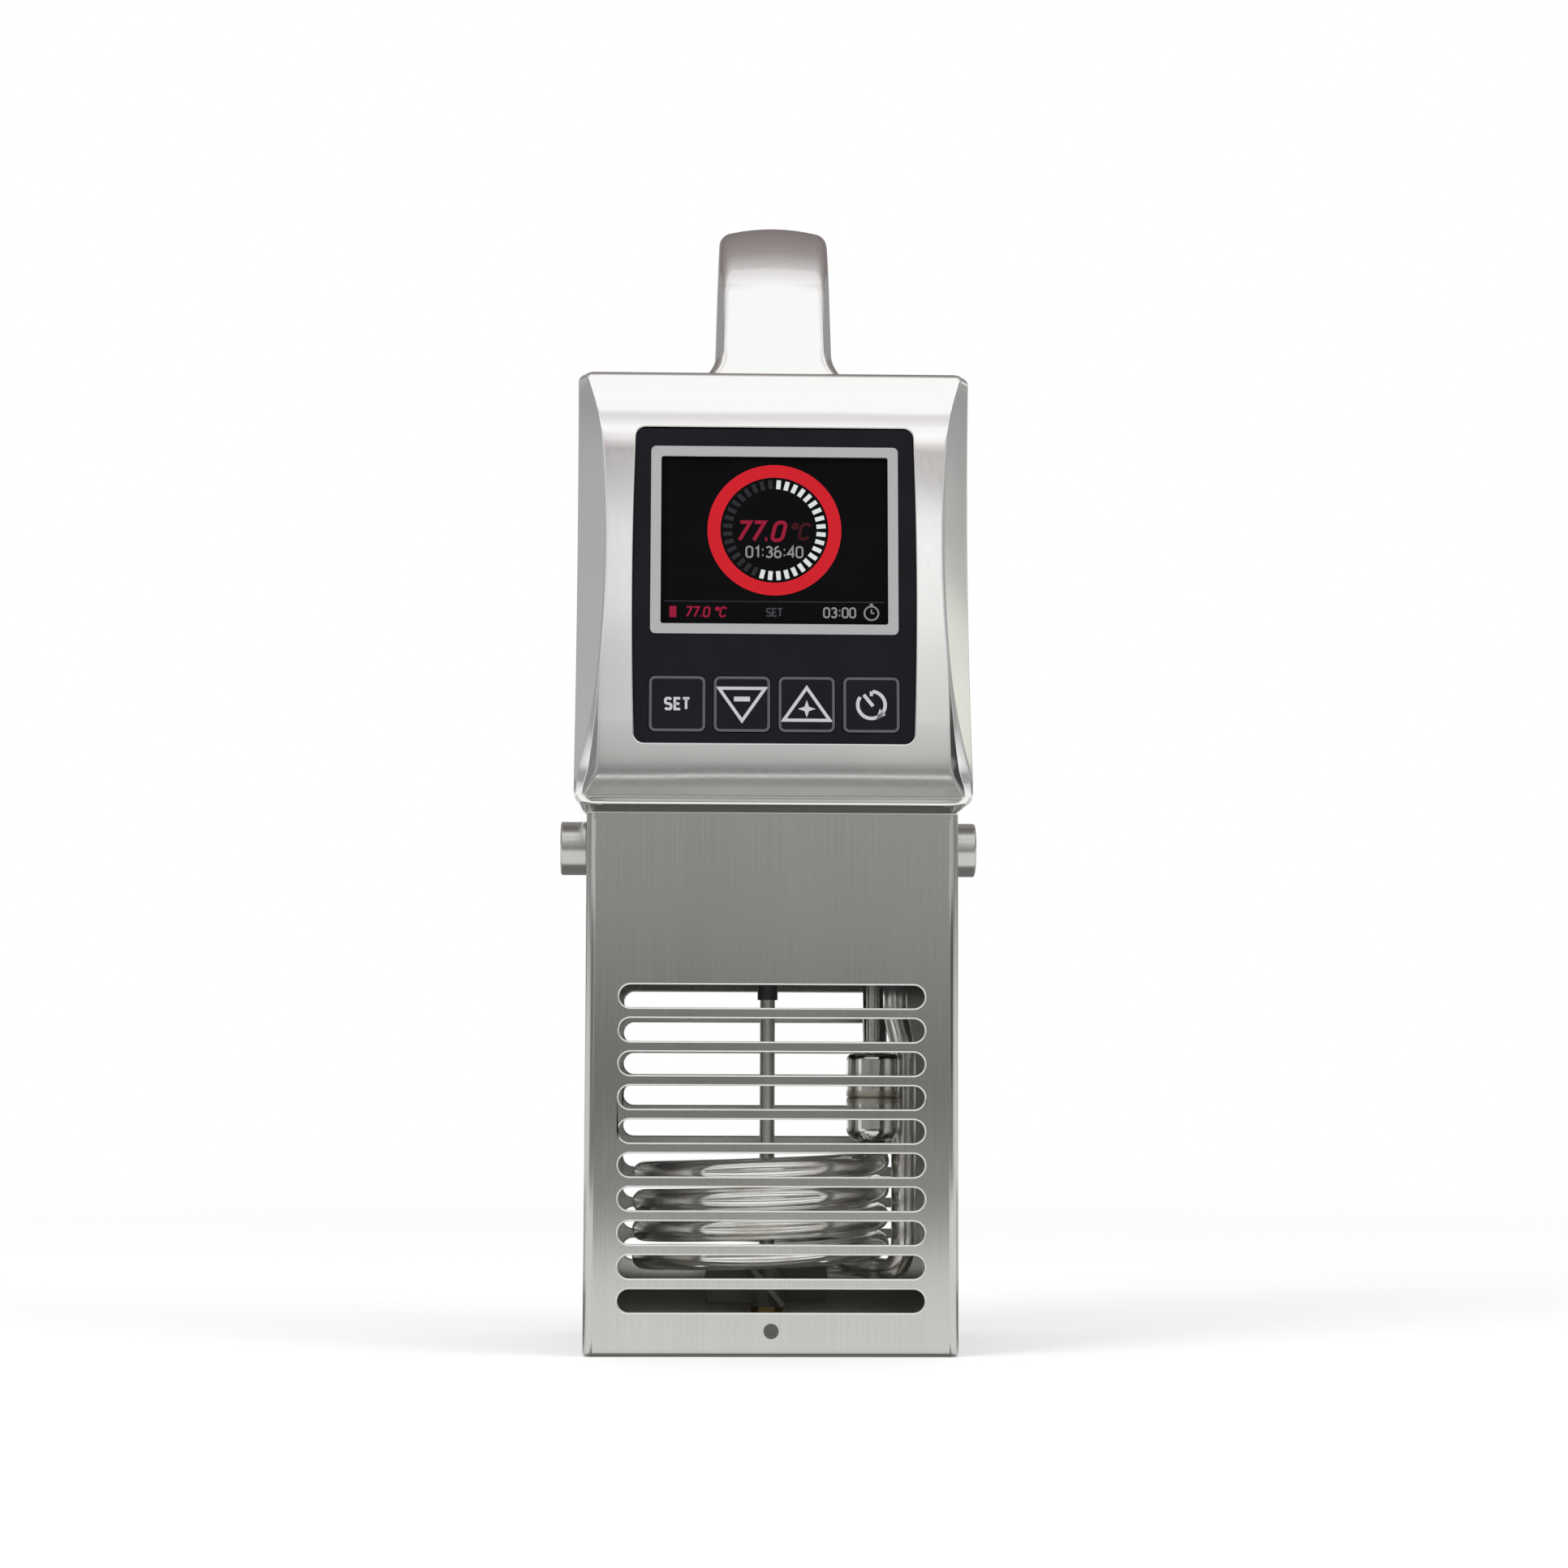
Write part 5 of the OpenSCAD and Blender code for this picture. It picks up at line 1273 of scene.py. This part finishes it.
def stroke(line, width, closed=False):
    """A band of this width along a line: both edges meet in mitres. Points and faces."""
    line = np.asarray(line, float)
    if closed:
        before, after = np.roll(line, 1, 0), np.roll(line, -1, 0)
    else:
        before = np.vstack((2 * line[0] - line[1], line[:-1]))
        after = np.vstack((line[1:], 2 * line[-1] - line[-2]))
    way_in = (line - before) / np.linalg.norm(line - before, axis=1)[:, None]
    way_out = (after - line) / np.linalg.norm(after - line, axis=1)[:, None]
    mid = way_in + way_out
    mid /= np.linalg.norm(mid, axis=1)[:, None]
    side = np.column_stack((-mid[:, 1], mid[:, 0]))
    reach = width / 2 / np.clip(np.sum(mid * way_in, axis=1), 0.35, 1)
    edges = np.vstack((line + side * reach[:, None], line - side * reach[:, None]))
    n = len(line)
    i = np.arange(n if closed else n - 1)
    j = (i + 1) % n
    return edges, np.column_stack((i, n + i, n + j, j))


def rounded(width, height, radius):
    """Outline of a rectangle with round corners, anticlockwise."""
    x, y = width / 2 - radius, height / 2 - radius
    corners = (((x, y), 0), ((-x, y), 90), ((-x, -y), 180), ((x, -y), 270))
    return np.vstack([arc(middle, radius, start, start + 90, 7) for middle, start in corners])


def shifted(shape, x, y):
    """A shape of points and faces, moved."""
    return np.asarray(shape[0]) + (x, y), shape[1]


def printed(name, shapes, origin, material, body):
    """One piece of flat shapes, laid on the leaning face from origin: X to the right, Y up."""
    points, faces, count = [], [], 0
    for flat, loops in shapes:
        points.append(flat)
        faces += [tuple(count + k for k in loop) for loop in loops]
        count += len(flat)
    flat = np.vstack(points)
    placed = origin + flat[:, :1] * face_right + flat[:, 1:] * face_up
    piece = mesh_piece(name, placed, faces, material, smooth=False)
    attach(piece, body)


# Signs of the lettering in a cell of height 1, each a list of pen lines and whether they close.
high_bow = arc((0.26, 0.74), 0.26, 150, -70, 10)
low_bow = arc((0.26, 0.28), 0.28, 70, -150, 10)
snake = [
    (0.52, 0.88), (0.4, 1), (0.1, 1), (0, 0.88), (0, 0.64), (0.1, 0.53),
    (0.42, 0.47), (0.52, 0.36), (0.52, 0.12), (0.42, 0), (0.1, 0), (0, 0.12),
]
signs = {
    "0": [(rounded(0.56, 1, 0.24) + (0.28, 0.5), True)],
    "1": [([(0.08, 0.8), (0.3, 1), (0.3, 0)], False)],
    "3": [(np.vstack((high_bow, low_bow)), False)],
    "4": [([(0.46, 0), (0.46, 1), (0, 0.3), (0.6, 0.3)], False)],
    "6": [
        (rounded(0.54, 0.58, 0.24) + (0.27, 0.29), True),
        (arc((0.36, 0.64), 0.36, 180, 90, 8), False),
    ],
    "7": [([(0, 1), (0.54, 1), (0.2, 0)], False)],
    "S": [(snake, False)],
    "E": [([(0.5, 1), (0, 1), (0, 0), (0.5, 0)], False), ([(0, 0.5), (0.42, 0.5)], False)],
    "T": [([(0, 1), (0.6, 1)], False), ([(0.3, 1), (0.3, 0)], False)],
    "C": [(np.vstack((arc((0.3, 0.7), 0.3, 20, 180, 8), arc((0.3, 0.3), 0.3, 180, 340, 8))), False)],
    "o": [(arc((0.14, 0.84), 0.14, 0, 330, 12), True)],
    ".": [([(0.02, 0.06), (0.14, 0.06)], False)],
    ":": [([(0.02, 0.72), (0.14, 0.72)], False), ([(0.02, 0.2), (0.14, 0.2)], False)],
    " ": [],
}
sign_widths = {"1": 0.4, "E": 0.44, "o": 0.3, ".": 0.16, ":": 0.16, " ": 0.25}


def words(text, height, pen, slant=0.0, gap=0.22, place=(0, 0)):
    """A line of signs as pen strokes, with its middle at place. pen and gap are shares of
    height, and slant is the lean of the signs' upright lines."""
    shapes, x = [], 0.0
    for sign in text:
        for line, closed in signs[sign]:
            points = np.asarray(line, float) + (x, -0.5)
            points[:, 0] += slant * points[:, 1]
            shapes.append(stroke(points * height, pen * height, closed))
        x += sign_widths.get(sign, 0.56) + gap
    centred = [shifted(shape, -(x - gap) / 2 * height, 0) for shape in shapes]
    return [shifted(shape, *place) for shape in centred]


outline_ink = print_finish("grey_ink", (0.105, 0.105, 0.115))
symbol_ink = print_finish("pale_ink", (0.56, 0.56, 0.58))
down_triangle = np.array([(-0.0072, 0.0050), (0.0072, 0.0050), (0.0, -0.0053)])
plus = np.array([
    (0, 0.0028), (0.0007, 0.0007), (0.0028, 0), (0.0007, -0.0007),
    (0, -0.0028), (-0.0007, -0.0007), (-0.0028, 0), (-0.0007, 0.0007),
])
symbols = {
    "set": words("SET", 0.0034, 0.24, gap=0.3),
    "down": [
        stroke(down_triangle, 0.0010, True),
        stroke([(-0.0025, 0.0016), (0.0025, 0.0016)], 0.0015),
    ],
    "up": [
        stroke(-down_triangle, 0.0010, True),
        (plus - (0, 0.0014), [range(8)]),
    ],
    "timer": [
        stroke(arc((0, 0), 0.0043, 85, -215), 0.0011),
        stroke([(-0.0024, 0.0032), (0.0005, -0.0004)], 0.0011),
        stroke([(0, 0.0043), (0, 0.0028)], 0.0010),
        (np.array([(0.0014, -0.0046), (0.0044, -0.0032), (0.0026, -0.0012)]), [range(3)]),
    ],
}
for i, (key, shapes) in enumerate(symbols.items()):
    origin = key_row + (i - 1.5) * key_pitch * face_right + print_lift * face_out
    border = [stroke(rounded(key_outline, key_outline, key_corner), 0.00085, True)]
    printed(f"{key}_outline", border, origin, outline_ink, f"{key}_key")
    printed(f"{key}_symbol", shapes, origin, symbol_ink, f"{key}_key")


# Display -------------------------------------------------------------------------------
# A silver-painted frame round a black glass. Behind the glass the picture glows: a red
# ring, a ring of ticks that is lit for the time gone, and the figures of the bath.


def silver_paint():
    """Silver paint: fine bright flakes in a pale grey."""
    material, shader, place = finish("silver_paint", (0.45, 0.45, 0.46), 0.42, 0.35)
    flakes = grain(place, (5200, 5200, 5200))
    flakes.between((0.38, 0.38, 0.39), (0.55, 0.55, 0.56)).into(shader, "Base Color")
    (0.36 + 0.14 * flakes).into(shader, "Roughness")
    emboss(shader, flakes, 0.00001)
    return material


def glass_finish():
    """Black display glass with the faintest smears on it."""
    material, shader, place = finish(
        "display_glass", (0.0020, 0.0020, 0.0026), 0.06, Specular_IOR_Level=0.02
    )
    smear = grain(place, (60, 60, 160), 3.0)
    smear.between((0.003, 0.003, 0.0036), (0.0052, 0.0052, 0.006)).into(shader, "Base Color")
    (0.04 + 0.08 * smear).into(shader, "Roughness")
    return material


def glow_finish(name, colour):
    """Light from the display: even, with the fine unevenness of its cells."""
    material, shader, place = finish(
        name, (0.004, 0.004, 0.004), 0.2, Specular_IOR_Level=0.05, Emission_Strength=1.0
    )
    cells = grain(place, (2600, 2600, 2600))
    cells.varied(colour, 0.9, 1.06).into(shader, "Emission Color")
    return material


dress(silver_paint(), "display_bezel")
dress(glass_finish(), "display_window")

glass_depth = 0.00127
ring_rise = 0.0036
bar_drop = 0.0229
ring_r = 0.01905
ring_w = 0.0041
tick_reach = (0.0133, 0.0162)
tick_w = 0.0014
clock_place = (0.0305, -0.0001)
glass_front = display_middle - glass_depth * face_out
ring_middle = glass_front + ring_rise * face_up
bar_middle = glass_front - bar_drop * face_up
red_glow = glow_finish("red_glow", (0.62, 0.012, 0.022))
crimson_glow = glow_finish("crimson_glow", (0.30, 0.008, 0.035))
white_glow = glow_finish("white_glow", (0.72, 0.75, 0.74))
grey_glow = glow_finish("grey_glow", (0.26, 0.27, 0.27))
dim_glow = glow_finish("dim_glow", (0.022, 0.022, 0.026))
pale_glow = glow_finish("pale_glow", (0.055, 0.054, 0.062))
ember_glow = glow_finish("ember_glow", (0.048, 0.004, 0.008))


def ticks(first, last):
    """Short radial strokes at every tenth degree from first to last, clockwise from the top."""
    shapes = []
    for degrees in range(first, last + 1, 10):
        way = np.array([sin(radians(degrees)), cos(radians(degrees))])
        shapes.append(stroke([tick_reach[0] * way, tick_reach[1] * way], tick_w))
    return shapes


picture = {
    "ring": (ring_middle, red_glow, [
        stroke(arc((0, 0), ring_r, 0, 360, 97)[:-1], ring_w, True),
    ]),
    "ticks_lit": (ring_middle, white_glow, ticks(5, 195)),
    "ticks_dim": (ring_middle, dim_glow, ticks(205, 355)),
    "bath_figures": (
        ring_middle, crimson_glow, words("77.0", 0.0058, 0.2, 0.25, place=(-0.0042, -0.0004)),
    ),
    "bath_unit": (
        ring_middle, ember_glow, words("oC", 0.0050, 0.18, 0.2, place=(0.0082, -0.0004)),
    ),
    "time_figures": (
        ring_middle, grey_glow, words("01:36:40", 0.0034, 0.17, 0.0, 0.24, (0, -0.0071)),
    ),
    "bar_line": (bar_middle, dim_glow, [stroke([(-0.0346, 0.0034), (0.0346, 0.0034)], 0.0004)]),
    "set_figures": (bar_middle, crimson_glow, [
        *words("77.0 oC", 0.0030, 0.2, 0.15, 0.2, (-0.0215, 0)),
        shifted(stroke([(0, -0.0018), (0, 0.0018)], 0.0022), -0.0318, 0),
    ]),
    "set_word": (bar_middle, pale_glow, words("SET", 0.0024, 0.2)),
    "timer_figures": (bar_middle, grey_glow, words("03:00", 0.0030, 0.18, place=(0.0205, 0))),
    "timer_clock": (bar_middle, grey_glow, [
        shifted(stroke(arc((0, 0), 0.0022, 0, 360, 33)[:-1], 0.0005, True), *clock_place),
        shifted(stroke([(0, 0.0013), (0, 0), (0.0009, 0)], 0.0004), *clock_place),
        shifted(stroke([(-0.0005, 0.0028), (0.0005, 0.0028)], 0.0006), *clock_place),
    ]),
}
for name, (origin, glow, shapes) in picture.items():
    printed(name, shapes, origin, glow, "head")


# Tank clamp and cable gland ------------------------------------------------------------
# The clamp's grip and the gland are moulded in black plastic: the grip is pressed on the
# spindle, and the gland is screwed into the rear cover round the mains lead's way in.

dress(moulded_finish("grip_plastic", (0.016, 0.016, 0.017), 0.48), "clamp_knob")
dress(moulded_finish("gland_plastic", (0.015, 0.015, 0.016), 0.4), "gland_body", "gland_cap")
